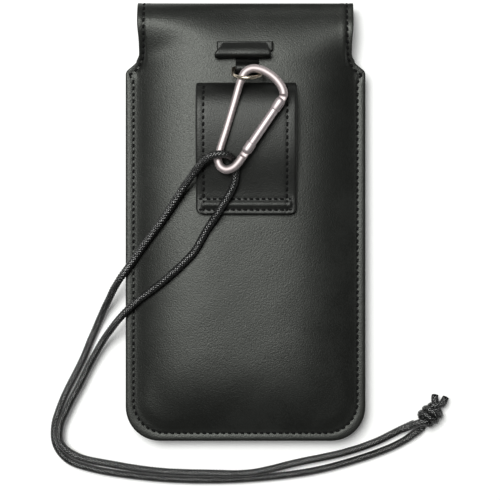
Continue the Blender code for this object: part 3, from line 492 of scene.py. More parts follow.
STATIONS = sorted(set([88.5, 86.5, 84.5, 82.5, 80.5, 78.5, 77.0, 75.6, 74.4, 73.3, 72.3, 71.3, 70.5, 69.8, 69.1, 68.4, 67.7,
                       67.2, 66.6, 66.1, 65.6] + [64.6 - 1.0 * k for k in range(5)] + [59.0 - 2.0 * k for k in range(69)]),
                  reverse=True)
STATIONS = [s for s in STATIONS if s > Y_BOT + CORNER_R + 0.4] + [Y_BOT + CORNER_R]
INSETS = ([0.0, 0.5, 1.1, 1.8, 2.3, 2.7, 3.05, 3.4, 3.75, 4.1, 4.6, 5.2, 6.0, 6.9, 7.8, 8.6, 9.3] +
          [10.1 + 0.8 * k for k in range(12)] + [20.0 + 1.6 * k for k in range(21)])
L_INSETS = [12.0, 13.0, 14.0, 15.0, 16.4, 18.0, 21.0, 25.0, 30.0, 36.0, 44.0, 52.0]


def bend_top(a, r):
    return YC + r * math.sin(a), 11.5 + r * math.cos(a)


def bend_low(a, r):
    return YC + r * math.sin(a), 6.5 - r * math.cos(a)


def seam_lines_all():
    return [[p for p in BODY_SEAM]] + NECK_SEAMS


def normals_of(verts, faces):
    me = bpy.data.meshes.new("tmp")
    me.from_pydata(verts.tolist(), [], [list(map(int, f)) for f in faces])
    me.update()
    n = np.array([v.normal[:] for v in me.vertices], float)
    bpy.data.meshes.remove(me)
    return n


def panel_grid(insets, stations, zfun, over=None):
    """Plan surface with heights; the rows over the fold are added afterwards by add_fold."""
    pts, faces, n = ring_surface(insets, stations)
    x, y, d = pts.T
    z = zfun(x, y, d)
    return np.stack([x, y, z], 1), faces, n, d


FOLD_ROWS = 12


def add_fold(verts, faces, n, rows_d, angle_rows, radius_of, which):
    """Adds rows past the panel's top edge: straight to the bend, then round it."""
    n_ring = len(rows_d)
    # top edge nodes from left to right: ring starts, then mirrored ring ends
    left = [k * n for k in range(n_ring)]
    right = [k * n + n - 1 for k in reversed(range(n_ring))]
    top = left + right
    base_pts = [verts[i] for i in top]
    # fill the middle so that the sheet bends as a full-width strip
    rows = [top]
    pts = list(verts)
    for kind, value in angle_rows:
        row = []
        for p in base_pts:
            x, z0 = p[0], p[2]
            if kind == "y":
                q = (x, value, which(x, value, z0, None))
            elif kind == "a":
                q = (x,) + which(x, None, z0, value)
            else:
                q = (x, rows[-1] and pts[rows[-1][len(row)]][1], value)
            row.append(len(pts))
            pts.append(np.array(q, float))
        rows.append(row)
    for r0, r1 in zip(rows, rows[1:]):
        for a, b in zip(range(len(r0) - 1), range(1, len(r0))):
            faces.append([r0[a], r0[b], r1[b], r1[a]])
    return np.array(pts), faces, rows


# ---- back panel: moulded crown, sewn rim, carried over the fold to mid spine ---
bv, bf, bn, bd = panel_grid(INSETS, STATIONS, back_z)


def fold_outer_top(x, y, z0, a):
    z_ref = z0 + float(top_drop(x, 88.5))
    if a is None:
        return z_ref - float(top_drop(x, y))
    p0 = np.array((YC, z_ref - float(top_drop(x, YC))))
    slope = 2 * float(top_drop(x, YC)) / (YC - float(top_start(x)))
    p3 = np.array((Y_TOP, 11.5))
    p1 = p0 + np.array((1.0, -slope)) * 3.3
    p2 = p3 + np.array((0.0, 0.52 * (p0[1] - p3[1])))
    t = a / (math.pi / 2)
    q = (1 - t) ** 3 * p0 + 3 * (1 - t) ** 2 * t * p1 + 3 * (1 - t) * t * t * p2 + t ** 3 * p3
    return float(q[0]), float(q[1])


rows_top = [("y", 89.5), ("y", YC)] + [("a", math.radians(a)) for a in range(8, 91, 8)]
if rows_top[-1][1] < math.pi / 2 - 1e-6:
    rows_top.append(("a", math.pi / 2))
rows_top += [("z", 10.2), ("z", 9.0)]
bv, bf, brows = add_fold(bv, bf, bn, INSETS, rows_top, None, fold_outer_top)
nb_panel = len(INSETS) * bn
dist = seam_distance(bv[:, 0], bv[:, 1], seam_lines_all())
on_panel = np.arange(len(bv)) < nb_panel
g = groove(dist, 0.20, 0.60)
g[~on_panel] = 0
neck = seam_distance(bv[:, 0], np.minimum(bv[:, 1], 88.4), NECK_SEAMS)
g2 = groove(neck, 0.20, 0.60)
g = np.where(on_panel, g, g2)
bnorm = normals_of(bv, bf)
# rounding of the cut edges: the outer skin drops slightly towards the border
border_drop = np.zeros(len(bv))
border_drop[:nb_panel] = -0.22 * np.clip(1 - bd / 0.9, 0, 1) ** 2
b_outer = bv + bnorm * (g + border_drop)[:, None]
b_inner = bv - bnorm * LEATHER
wob = np.array([math.sin(0.11 * p[0] + 0.7) * math.sin(0.073 * p[1] + 0.3) * 0.04 + math.sin(0.23 * p[0] - 0.31 * p[1]) * 0.012
                for p in bv])
b_outer[:, 2] += np.where(on_panel & (np.arange(len(bv)) >= 0), wob * sm(10, 18, np.where(on_panel, np.concatenate([bd, np.zeros(len(bv) - nb_panel)]), 0)), 0)
MID_SPINE = 9.0


def at_mid_spine(p):
    return abs(p[2] - MID_SPINE) < 0.02 and p[1] > 92


back_leather = close_surface("back_leather", b_outer, b_inner, bf, M_LEATHER, M_EDGE, round_edge=0.18, sharp=75,
                             flat_at=at_mid_spine)
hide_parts("back_panel")

# ---- the flap: from mid spine round and down the front, rounded free end -----


def flap_lift(x):
    return 1.0 * sm(41.0, 47.5, np.abs(x))


def flap_end(x, half):
    u = np.clip(np.abs(x) / half, 0, 1)
    return FLAP_END_Y + 22.0 * (1 - np.sqrt(np.maximum(0, 1 - u ** 3)))


def flap_grid(half, xs, y_rows, end_half):
    pts, faces, cols = [], [], len(xs)
    rows = []
    rows += [("z", MID_SPINE), ("z", 7.8)]
    for a in [90, 82, 74, 66, 58, 50, 42, 34, 26, 18, 10]:
        rows.append(("a", math.radians(a)))
    for t in y_rows:
        rows.append(("t", t))
    for kind, v in rows:
        for x in xs:
            if kind in "az":
                pts.append((x, v, 0.0, kind))
            else:
                y1 = flap_end(x, end_half)
                pts.append((x, YC + (y1 - YC) * v, 0.0, kind))
    for r in range(len(rows) - 1):
        for c in range(cols - 1):
            a, b = r * cols + c, r * cols + c + 1
            faces.append([a, b, b + cols, a + cols])
    return pts, faces, rows


def flap_skin(pts, inset, lift_on=True):
    """Where the flap's leather lies, inset from its outer face by so much."""
    out = []
    for x, v, _, kind in pts:
        if kind == "a":
            lift = 0.0
            yy, zz = bend_low(v, FOLD_R - inset)
            out.append((x, yy, zz))
        elif kind == "z":
            out.append((x, Y_TOP - inset, v))
        else:
            lift = float(flap_lift(x) * sm(90.0, 78.0, v)) if lift_on else 0.0
            out.append((x, v, inset + lift))
    return np.array(out, float)


FLAP_XS = np.concatenate([np.linspace(-NECK_W, -40, 16)[:-1], np.linspace(-40, 40, 41), np.linspace(40, NECK_W, 16)[1:]])
FLAP_T_ROWS = list(np.linspace(0, 0.94, 34)) + [0.96, 0.98, 1.0]
fp, ff, frows = flap_grid(NECK_W, FLAP_XS, FLAP_T_ROWS, NECK_W)
f_outer = flap_skin(fp, 0.0)
f_inner = flap_skin(fp, FLAP_T)
fxs = f_outer[:, 0]
fd = np.abs(np.abs(fxs) - FLAP_SEAM_X)
fg = groove(fd, 0.16, 0.6) * 0.8
f_outer_n = normals_of(f_outer, ff)
if f_outer_n[len(f_outer) // 2][2] > 0:
    f_outer_n = -f_outer_n
f_outer = f_outer - f_outer_n * (-fg)[:, None]
f_inner_g = f_inner + f_outer_n * (-fg * 0.8)[:, None]
flap_leather = close_surface("flap_leather", f_outer, f_inner_g, ff, M_LEATHER, M_EDGE, round_edge=0.18, sharp=75,
                             flat_at=at_mid_spine)
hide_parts("flap_panel", "flap_spine")

# ---- linings ----------------------------------------------------------------
lv, lf, ln, ld = panel_grid(L_INSETS, STATIONS, back_z)
lv, lf, lrows = add_fold(lv, lf, ln, L_INSETS, rows_top, None, fold_outer_top)
lnorm = normals_of(lv, lf)
back_cloth = close_surface("back_cloth", lv - lnorm * (LEATHER + GAP), lv - lnorm * (LEATHER + GAP + LINING), lf, M_LINING,
                           round_edge=0.05, sharp=75, flat_at=at_mid_spine)
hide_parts("back_lining", "flap_spine_lining")

LX = np.concatenate([np.linspace(-43.1, 43.1, 45)])
lp, lff, _ = flap_grid(43.1, LX, list(np.linspace(0, 1.0, 26)), 43.1)


def lining_skin(pts, inset):
    out = flap_skin(pts, inset, lift_on=False)
    for i, (x, v, _, kind) in enumerate(pts):
        if kind == "t":
            # the cloth stops short of the free end's stitching
            u = np.clip(abs(x) / 43.1, 0, 1)
            y1 = FLAP_END_Y + 4.4 + 19.0 * (1 - math.sqrt(max(0.0, 1 - u ** 3)))
            t = (YC - v) / (YC - flap_end(x, 43.1)) if YC - flap_end(x, 43.1) else 0
            out[i, 1] = YC + (y1 - YC) * t
    return out


flap_cloth = close_surface("flap_cloth", lining_skin(lp, FLAP_T + GAP), lining_skin(lp, FLAP_T + GAP + LINING), lff, M_LINING,
                           round_edge=0.05, sharp=75, flat_at=at_mid_spine)
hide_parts("flap_lining")

# ---- front panel and its lining, with the scooped mouth ----------------------
F_STATIONS = [MOUTH_Y] + [s for s in STATIONS if s < MOUTH_Y - 0.2]


def mouth(x, y):
    return y if y <= 45 else y - ((y - 45) / 25) * MOUTH_DIP * (1 - (x / HALF_W) ** 2)


def front_grid(insets):
    pts, faces, n = ring_surface(insets, F_STATIONS)
    x, y, d = pts.T
    z = front_z(x, y, d)
    yy = np.array([mouth(a, b) for a, b in zip(x, y)])
    return np.stack([x, yy, z], 1), faces, n, d


gv, gf, gn, gd = front_grid(INSETS)
gnorm = normals_of(gv, gf)
if gnorm[len(gv) // 2][2] > 0:
    gnorm = -gnorm
gdist = seam_distance(gv[:, 0], gv[:, 1], [[p for p in BODY_SEAM if p[1] < 61]])
gg = groove(gdist, 0.28, 0.62)
g_drop = -0.22 * np.clip(1 - gd / 0.9, 0, 1) ** 2
front_leather = close_surface("front_leather", gv + gnorm * (gg + g_drop)[:, None], gv - gnorm * LEATHER, gf, M_LEATHER, M_EDGE,
                              round_edge=0.18, sharp=75)
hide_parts("front_panel")
hv, hf, hn, hd = front_grid(L_INSETS)
hnorm = normals_of(hv, hf)
if hnorm[len(hv) // 2][2] > 0:
    hnorm = -hnorm
front_cloth = close_surface("front_cloth", hv - hnorm * (LEATHER + GAP), hv - hnorm * (LEATHER + GAP + LINING), hf, M_LINING,
                            round_edge=0.05, sharp=75)
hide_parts("front_lining")


# ---- stitches ----------------------------------------------------------------
def frame_at(t, up):
    t = np.asarray(t, float)
    t = t / (np.linalg.norm(t) + 1e-12)
    s = np.cross(t, up)
    s = s / (np.linalg.norm(s) + 1e-12)
    u = np.cross(s, t)
    return t, s, u


def stitch_run(line, ups, pitch, length, width, height, slant=0.0, seed=1, lift=0.0):
    """Short rounded thread loops laid along a line, each end dipping into its hole."""
    rnd = random.Random(seed)
    pts = [np.asarray(p, float) for p in line]
    cum = [0.0]
    for a, b in zip(pts, pts[1:]):
        cum.append(cum[-1] + float(np.linalg.norm(b - a)))
    total = cum[-1]
    n = max(1, int(round(total / pitch)))
    verts, faces = [], []

    def at(s):
        s = min(max(s, 0.0), total)
        k = max(0, min(len(cum) - 2, int(np.searchsorted(cum, s)) - 1))
        f = (s - cum[k]) / max(cum[k + 1] - cum[k], 1e-9)
        p = pts[k] + (pts[k + 1] - pts[k]) * f
        u = np.asarray(ups[k], float) + (np.asarray(ups[k + 1], float) - np.asarray(ups[k], float)) * f
        return p, u, pts[k + 1] - pts[k]

    sides, steps = 8, 7
    for i in range(n):
        mid = (i + 0.5) * total / n
        half = length / 2 * (1 + rnd.uniform(-0.05, 0.05))
        sl = slant * (1 + rnd.uniform(-0.25, 0.25))
        rings = []
        for k in range(steps):
            f = -1 + 2 * k / (steps - 1)
            p, u, t = at(mid + half * f)
            t, s, u = frame_at(t, u)
            dip = -0.60 * height * (abs(f) ** 4)
            swell = math.sqrt(max(0.0, 1 - (abs(f) ** 4) * 0.72))
            c = p + s * (sl * f) + u * (dip + lift)
            ring = []
            for j in range(sides):
                a = 2 * math.pi * j / sides
                ring.append(c + s * (math.cos(a) * width / 2 * swell) + u * (math.sin(a) * height / 2 * swell))
            rings.append(ring)
        base = len(verts)
        for ring in rings:
            verts += ring
        for k in range(steps - 1):
            for j in range(sides):
                a, b = base + k * sides + j, base + k * sides + (j + 1) % sides
                faces.append([a, b, b + sides, a + sides])
        faces.append([base + j for j in reversed(range(sides))])
        faces.append([base + (steps - 1) * sides + j for j in range(sides)])
    return verts, faces


def merge(runs):
    verts, faces = [], []
    for v, f in runs:
        b = len(verts)
        verts += list(v)
        faces += [[i + b for i in q] for q in f]
    return verts, faces


def thread_piece(name, runs, *nodes, mat=None):
    v, f = merge(runs)
    ob = mesh_object(name, v, f, mat or M_THREAD, sharp=50)
    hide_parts(*nodes)
    return ob


UP = (0, 0, 1)
DOWN = (0, 0, -1)
seam_back = [(p[0], p[1], RIM_TOP - 0.16) for p in BODY_SEAM]
body_stitches_back = thread_piece("body_stitches_back",
                                  [stitch_run(seam_back, [UP] * len(seam_back), 2.82, 2.05, 1.0, 0.78, 0.18, 3, lift=0.12)],
                                  "body_seam_thread_back")
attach(body_stitches_back, "case")
seam_front = [(p[0], p[1], RIM_BOT + 0.16) for p in BODY_SEAM if p[1] < 61]
body_stitches_front = thread_piece("body_stitches_front",
                                   [stitch_run(seam_front, [DOWN] * len(seam_front), 2.82, 2.05, 1.0, 0.78, 0.18, 5, lift=0.12)],
                                   "body_seam_thread_front")
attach(body_stitches_front, "case")


def d_neck(x, y):
    w = float(neck_w(y))
    return (w - abs(x)) * 9.5 / (w - (HALF_W - 9.5)) if abs(x) > HALF_W - 9.5 else HALF_W - abs(x)


neck_runs, flap_runs = [], []
for side in (-1, 1):
    line, ups = [], []
    for p in reversed(catmull(FLAP_SEAM_LEFT, 8)):
        x, y = p[0], p[1]
        z = float(back_z(np.array([side * x]), np.array([y]), np.array([d_neck(x, y)]))[0])
        line.append((side * x, y, z - 0.16))
        ups.append((side * (-0.0), 0, 1))
    z_edge = float(back_z(np.array([side * -FLAP_SEAM_X]), np.array([88.5]), np.array([d_neck(FLAP_SEAM_X, 88.5)]))[0])
    for a in np.linspace(0, math.pi / 2, 10):
        yy, zz = fold_outer_top(side * -FLAP_SEAM_X, None, z_edge, a)
        line.append((side * -FLAP_SEAM_X, yy - 0.16 * math.sin(a), zz - 0.16 * math.cos(a)))
        ups.append((0, math.sin(a), math.cos(a)))
    line.append((side * -FLAP_SEAM_X, Y_TOP - 0.16, MID_SPINE + 0.1))
    ups.append((0, 1, 0))
    neck_runs.append(stitch_run(line, ups, 2.86, 2.05, 1.0, 0.78, 0.16 * side, 7, lift=0.12))
    low, lups = [(side * -FLAP_SEAM_X, Y_TOP - 0.16, MID_SPINE - 0.1)], [(0, 1, 0)]
    for a in np.linspace(math.pi / 2, 0, 10):
        yy, zz = bend_low(a, FOLD_R - 0.16)
        low.append((side * -FLAP_SEAM_X, yy, zz))
        lups.append((0, math.sin(a), -math.cos(a)))
    stop = float(flap_end(FLAP_SEAM_X, NECK_W)) + 3.0
    for y in np.linspace(88.0, stop, 20):
        lift = float(flap_lift(FLAP_SEAM_X) * sm(90.0, 78.0, y))
        low.append((side * -FLAP_SEAM_X, y, 0.16 + lift))
        lups.append(DOWN)
    flap_runs.append(stitch_run(low, lups, 2.86, 1.95, 0.76, 0.56, 0.14 * side, 9))
    inner, iups = [], []
    for y in np.linspace(88.0, stop, 20):
        lift = float(flap_lift(FLAP_SEAM_X) * sm(90.0, 78.0, y))
        inner.append((side * -FLAP_SEAM_X, y, FLAP_T - 0.1 + lift))
        iups.append(UP)
    flap_runs.append(stitch_run(inner, iups, 2.86, 1.95, 0.76, 0.56, 0.14 * side, 11))
# the curved run round the free end
end_line, end_line_in = [], []
for x in np.linspace(-FLAP_SEAM_X + 0.4, FLAP_SEAM_X - 0.4, 60):
    y = float(flap_end(x, NECK_W)) + 3.0 + 1.2 * sm(38, 44.7, abs(x))
    lift = float(flap_lift(x))
    end_line.append((x, y, 0.10 + lift))
    end_line_in.append((x, y, FLAP_T - 0.05 + lift))
flap_runs.append(stitch_run(end_line, [DOWN] * 60, 2.86, 1.95, 0.76, 0.40, 0.14, 13, lift=-0.06))
flap_runs.append(stitch_run(end_line_in, [UP] * 60, 2.86, 1.95, 0.76, 0.50, 0.14, 15))
neck_stitches = thread_piece("neck_stitches", neck_runs, "neck_thread_left", "neck_thread_right")
flap_stitches = thread_piece("flap_stitches", flap_runs, "flap_seam_thread")

for ob in (back_leather, back_cloth, neck_stitches):
    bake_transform(ob)
for ob in (flap_leather, flap_cloth, flap_stitches):
    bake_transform(ob)
for ob in (front_leather, front_cloth):
    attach(ob, "case")


# ---- belt loop -----------------------------------------------------------------
LOOP_X0, LOOP_X1 = -21.3, 22.0
LOOP_PROFILE = [(3.4, 21.15), (7, 21.15), (11, 21.25), (15, 22.0), (19, 23.0), (23, 24.0), (29, 25.3), (38, 26.4),
                (47, 26.7), (52.5, 26.1), (56.6, 24.5), (59.4, 21.9), (60.9, 18.6)]


def strip_solid(name, line, x_of, thick, mat, edge_mat, xs_n=41, corner=2.0, extra=None, round_edge=0.3, side=1, seam_x=(),
                round_far=False):
    """A band along a profile in the YZ plane, x_of gives its left and right edges."""
    line = [np.asarray(p, float) for p in line]
    n = len(line)
    tang = [line[min(i + 1, n - 1)] - line[max(i - 1, 0)] for i in range(n)]
    nor = [np.array((-t[1], t[0])) / np.linalg.norm(t) for t in tang]
    cum = [0.0]
    for a, b in zip(line, line[1:]):
        cum.append(cum[-1] + float(np.linalg.norm(b - a)))
    us = np.concatenate([np.linspace(0, 0.06, 7)[:-1], np.linspace(0.06, 0.94, xs_n), np.linspace(0.94, 1, 7)[1:]])
    top, bot, faces = [], [], []
    for i in range(n):
        x0, x1 = x_of(cum[i], cum[-1])
        e = cum[i]
        cut = corner - math.sqrt(max(0.0, corner ** 2 - (corner - e) ** 2)) if e < corner else 0.0
        if round_far:
            e2 = cum[-1] - cum[i]
            if e2 < corner:
                cut = corner - math.sqrt(max(0.0, corner ** 2 - (corner - e2) ** 2))
        for u in us:
            x = (x0 + cut) + (x1 - x0 - 2 * cut) * u
            dx = min(x - x0, x1 - x) if x1 > x0 else 0
            drop = -0.26 * max(0.0, 1 - dx / 0.9) ** 2
            h = extra(x, line[i][0], line[i][1]) if extra else 0.0
            for sx in seam_x:
                h -= 0.16 * math.exp(-((x - sx) / 0.6) ** 2)
            q = line[i] + nor[i] * (drop + h)
            top.append((x, q[0], q[1]))
            b = line[i] - nor[i] * thick
            bot.append((x, b[0], b[1]))
    m = len(us)
    for i in range(n - 1):
        for k in range(m - 1):
            a, b = i * m + k, i * m + k + 1
            faces.append([a, b, b + m, a + m])
    ob = close_surface(name, top, bot, faces, mat, edge_mat, round_edge=round_edge, sharp=70)
    return ob


loop_line = [tuple(p) for p in resample(catmull([np.array(p) for p in LOOP_PROFILE], 10), 0.75)]


def loop_bar(x, y, z):
    ridge = 0.62 * math.exp(-((y - 7.55) / 1.25) ** 4)
    inside = float(sm(-19.6, -18.4, x) * sm(20.6, 19.4, x))
    sunk = -0.22 * math.exp(-((y - 9.9) / 0.55) ** 2) - 0.22 * math.exp(-((y - 5.2) / 0.55) ** 2)
    side = float(sm(-20.2, -18.9, x) * sm(20.4, 19.1, x))
    puff = 0.12 * math.exp(-((y - 30.0) / 20.0) ** 2) * math.cos(math.pi * (x - 0.3) / 50.0)
    return ridge * inside + sunk * side + puff


belt_strap = strip_solid("belt_strap", loop_line, lambda s, e: (LOOP_X0, LOOP_X1), 1.6, M_STRAP, M_EDGE, xs_n=60, corner=2.6,
                         extra=loop_bar, seam_x=(-18.2, 18.1))
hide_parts("belt_loop_strap")
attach(belt_strap, "case")


def offset_line(line, off):
    line = [np.asarray(p, float) for p in line]
    out = []
    for i, p in enumerate(line):
        t = line[min(i + 1, len(line) - 1)] - line[max(i - 1, 0)]
        nn = np.array((-t[1], t[0])) / np.linalg.norm(t)
        out.append(tuple(p + nn * off))
    return out


liner_line = [p for p in offset_line(loop_line, -1.9) if 3.8 < p[0] < 60.2]
belt_liner = strip_solid("belt_liner", liner_line, lambda s, e: (LOOP_X0 + 0.7, LOOP_X1 - 0.7), 0.72, M_LINING, M_EDGE, xs_n=20,
                         corner=2.0, round_edge=0.1)
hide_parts("belt_loop_liner")
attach(belt_liner, "case")

side_pts = [p for p in offset_line(loop_line, -0.10) if 4.0 < p[0] < 59.3]
runs = {}
for nm, sx in (("left", -18.2), ("right", 18.1)):
    line = [(sx, p[0], p[1]) for p in side_pts]
    ups = []
    for i in range(len(side_pts)):
        a, b = side_pts[max(i - 1, 0)], side_pts[min(i + 1, len(side_pts) - 1)]
        t = np.array(b) - np.array(a)
        ups.append((0, -t[1], t[0]))
    runs[nm] = stitch_run(line, ups, 2.82, 2.05, 1.0, 0.80, 0.12, 21, lift=0.14)
loop_stitch_left = thread_piece("loop_stitch_left", [runs["left"]], "belt_loop_thread_left")
loop_stitch_right = thread_piece("loop_stitch_right", [runs["right"]], "belt_loop_thread_right")
rows_ = {}
for nm, y in (("upper", 9.9), ("lower", 5.2)):
    line = [(x, y, 21.04) for x in np.linspace(-17.4, 17.2, 40)]
    rows_[nm] = [stitch_run(line, [UP] * 40, 2.75, 2.0, 0.96, 0.80, 0.14, 23, lift=0.14)]
for cx in (-19.6, 19.5):
    # short bar tacks squared at each corner of the sewn end
    for y in (9.9, 5.2):
        rows_["upper" if y > 7 else "lower"].append(
            stitch_run([(cx - 0.9, y, 21.02), (cx + 0.9, y, 21.02)], [UP] * 2, 1.8, 1.7, 0.8, 0.66, 0.0, 25, lift=0.1))
loop_row_upper = thread_piece("loop_row_upper", rows_["upper"], "belt_loop_bar_thread_upper")
loop_row_lower = thread_piece("loop_row_lower", rows_["lower"], "belt_loop_bar_thread_lower")
for ob in (loop_stitch_left, loop_stitch_right, loop_row_upper, loop_row_lower):
    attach(ob, "case")


# ---- ring tab: a narrow strip wrapped round the ring's bar -----------------------
RING_BAR = np.array((0.8, 67.0, 20.6))
RT_X0, RT_X1 = -4.2, 5.8
tab_line = [(71.5, 18.25), (70.2, 18.9)]
for a in np.linspace(math.radians(50), math.radians(190), 18):
    tab_line.append((RING_BAR[1] + 2.12 * math.cos(a), RING_BAR[2] + 2.12 * math.sin(a)))
tab_line += [(64.7, 19.4), (63.6, 18.6), (63.0, 17.9)]
tab_fine = [tuple(p) for p in resample(catmull([np.array(p) for p in tab_line], 6), 0.4)]
ring_tab_strap = strip_solid("ring_tab_strap", list(reversed(tab_fine)), lambda s, e: (RT_X0, RT_X1), 1.1, M_STRAP, M_EDGE, xs_n=18,
                             corner=0.6, round_edge=0.15)
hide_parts("ring_tab")
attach(ring_tab_strap, "case")

# ---- pull tab: a short folded tongue and its under ply ----------------------------
TAB_PROFILE = [(72.3, 18.85), (71.4, 20.4), (71.4, 22.2), (72.4, 23.7), (74.8, 23.6), (78.0, 21.9)]
PT = [tuple(p) for p in resample(catmull([np.array(p) for p in TAB_PROFILE], 8), 0.35)]


def tab_edges(s, total):
    t = s / total
    left = -13.3 + (13.3 - 10.2) * float(sm(0.45, 1.0, t))
    right = 10.4 + 0.5 * float(sm(0.0, 0.45, t)) - 1.5 * float(sm(0.55, 1.0, t))
    return left, right


def tab_body(x, y, z):
    return 0.12 * math.sin(0.35 * x + 0.4)


pull_tab_leather = strip_solid("pull_tab_leather", PT, lambda s, e: tab_edges(s, e), 1.3, M_STRAP, M_EDGE,
                               xs_n=36, corner=0.5, extra=tab_body, round_edge=0.22, round_far=True)
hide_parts("pull_tab_fold")
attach(pull_tab_leather, "pull_tab")
UNDER = [tuple(p) for p in resample([np.array(p) for p in [(74.8, 19.7), (77.0, 19.75), (78.7, 19.7)]], 0.35)]
pull_tab_ply = strip_solid("pull_tab_ply", UNDER, lambda s, e: (-12.4, 12.0), 1.05, M_STRAP, M_EDGE, xs_n=30, corner=0.7,
                           round_edge=0.16)
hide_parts("pull_tab_under_ply")
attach(pull_tab_ply, "pull_tab")


def dress(name, mat):
    ob = nodes[name]
    ob.data.materials.clear()
    ob.data.materials.append(mat)
    for p in ob.data.polygons:
        p.material_index = 0
    return ob


# the ribbon the pull tab works, inside the pouch: a thin woven band sewn at its ends
rib = nodes["pull_strap_ribbon"]
rib_at = [rib.matrix_world @ v.co for v in rib.data.vertices]
rib_ys = sorted({round(v.y * 1000.0, 2) for v in rib_at})
rib_line = [(y, max(v.z * 1000.0 for v in rib_at if abs(v.y * 1000.0 - y) < 0.05)) for y in rib_ys]
pull_ribbon = strip_solid("pull_ribbon", [tuple(p) for p in resample([np.array(p) for p in rib_line], 1.2)],
                          lambda s, e: (-10.9, 10.9), 0.4, M_RIBBON, M_RIBBON, xs_n=24, corner=0.4,
                          extra=lambda x, y, z: -0.02 - 0.02 * math.cos(2.6 * y), round_edge=0.05)
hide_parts("pull_strap_ribbon")
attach(pull_ribbon, "case")
dress("front_keeper", M_NICKEL)
dress("flap_magnet", M_NICKEL)
dress("gate_spring", M_PIN)
dress("gate_pivot_pin", M_PIN)
dress("gate_latch_pin", M_PIN)
dress("gate_plunger", M_BRASS)


# ---- metal: ring, hook, gate -------------------------------------------------------
def rod(name, line, normal, section, mat, sides=24, close=False, caps=True, sharp=40, shape=None):
    line = [np.asarray(p, float) for p in line]
    n = len(line)
    normal = np.asarray(normal, float)
    normal = normal / np.linalg.norm(normal)
    verts, faces = [], []
    for i, p in enumerate(line):
        if close:
            t = line[(i + 1) % n] - line[(i - 1) % n]
        else:
            t = line[min(i + 1, n - 1)] - line[max(i - 1, 0)]
        t = t / np.linalg.norm(t)
        side = np.cross(t, normal)
        side = side / np.linalg.norm(side)
        nn = np.cross(side, t)
        rs, rn = section(i, p)
        for k in range(sides):
            a = 2 * math.pi * (k + 0.5) / sides
            c, s = math.cos(a), math.sin(a)
            m = shape(i, p, a) if shape else 1.0
            verts.append(p + side * (rs * c * m) + nn * (rn * s * m))
    last = n if close else n - 1
    for i in range(last):
        for k in range(sides):
            a, b = i * sides + k, i * sides + (k + 1) % sides
            c, d = ((i + 1) % n) * sides + (k + 1) % sides, ((i + 1) % n) * sides + k
            faces.append([a, b, c, d])
    if caps and not close:
        faces.append([k for k in reversed(range(sides))])
        faces.append([(n - 1) * sides + k for k in range(sides)])
    return mesh_object(name, verts, faces, mat, sharp=sharp)


LEAN = math.radians(64)
RING_V = np.array((0, -math.cos(LEAN), math.sin(LEAN)))
RING_H, RING_A, RING_C = 13.1, 6.2, 1.1


def ring_line():
    """D shape: a straight bar, then a tall bow, in the leaning plane."""
    pts = []
    straight = RING_H - RING_A
    for u in np.linspace(-(RING_A - RING_C), RING_A - RING_C, 15):
        pts.append((u, 0.0))
    for a in np.linspace(-math.pi / 2, 0, 8)[1:]:
        pts.append((RING_A - RING_C + RING_C * math.cos(a), RING_C + RING_C * math.sin(a)))
    for v in np.linspace(RING_C, straight, 8)[1:]:
        pts.append((RING_A, v))
    for a in np.linspace(0, math.pi, 34)[1:]:
        pts.append((RING_A * math.cos(a), straight + RING_A * math.sin(a)))
    for v in np.linspace(straight, RING_C, 8)[1:]:
        pts.append((-RING_A, v))
    for a in np.linspace(math.pi, 1.5 * math.pi, 8)[1:-1]:
        pts.append((-(RING_A - RING_C) + RING_C * math.cos(a), RING_C + RING_C * math.sin(a)))
    return [RING_BAR + np.array((1.0, 0, 0)) * u + RING_V * v for u, v in pts]


d_ring_wire = rod("d_ring_wire", ring_line(), np.cross((1, 0, 0), RING_V), lambda i, p: (0.74, 0.74), M_RING, sides=20, close=True)
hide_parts("d_ring")
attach(d_ring_wire, "ring")


def hook_at(x, y):
    return np.array((x, y, 29.0 + (62 - y) * 0.08 + (x + 1.4) * 0.25))


HOOK_N = np.array((-0.25, 0.08, 1.0))
HOOK_N = HOOK_N / np.linalg.norm(HOOK_N)
HOOK_PLAN = [(0.6, 30.3), (-1.3, 27.5), (-3.1, 25.0), (-5.4, 22.9), (-8.2, 22.1), (-10.6, 23.3), (-11.7, 26.0), (-11.3, 29.5),
             (-8.2, 39.6), (-4.9, 50.6), (-1.5, 61.8), (0.0, 64.2), (2.6, 65.5), (6.0, 65.2), (10.0, 63.2), (13.6, 60.0),
             (16.0, 56.0), (16.2, 53.4), (14.7, 50.9)]
GATE_P, GATE_N = (0.6, 30.3), (14.7, 50.9)
P3, N3 = hook_at(*GATE_P), hook_at(*GATE_N)
GATE_DIR = (N3 - P3) / np.linalg.norm(N3 - P3)
GATE_L = float(np.linalg.norm(N3 - P3))
plan = resample(catmull([np.array((x, y, 0.0)) for x, y in HOOK_PLAN], 24), 0.32)
hook_line = [hook_at(p[0], p[1]) for p in plan]
hook_line = [P3 + GATE_DIR * (1.3 - 0.26 * k) for k in range(5)] + hook_line + [N3 - GATE_DIR * (0.26 * (k + 1)) for k in range(5)]


def hook_section(i, p):
    d = min(float(np.linalg.norm(p - P3)), float(np.linalg.norm(p - N3)))
    end = min(i, len(hook_line) - 1 - i)
    if d < 3.6:
        f = float(sm(2.6, 3.6, d))
        w, h = 1.80, 0.62 + (1.70 - 0.62) * f
        if end < 4:
            w *= math.sqrt(max(0.08, 1 - ((4 - end) / 4.3) ** 2))
        return w, h
    spine = -13.0 < p[0] < 0.5 and 27.0 < p[1] < 61.0
    if spine:
        f = float(sm(27.0, 29.5, p[1]) * sm(61.0, 58.5, p[1]))
        return 1.80 + (1.62 - 1.80) * f, 1.70 + (1.62 - 1.70) * f
    return 1.80, 1.70


hook_cum = [0.0]
for a_, b_ in zip(hook_line, hook_line[1:]):
    hook_cum.append(hook_cum[-1] + float(np.linalg.norm(b_ - a_)))


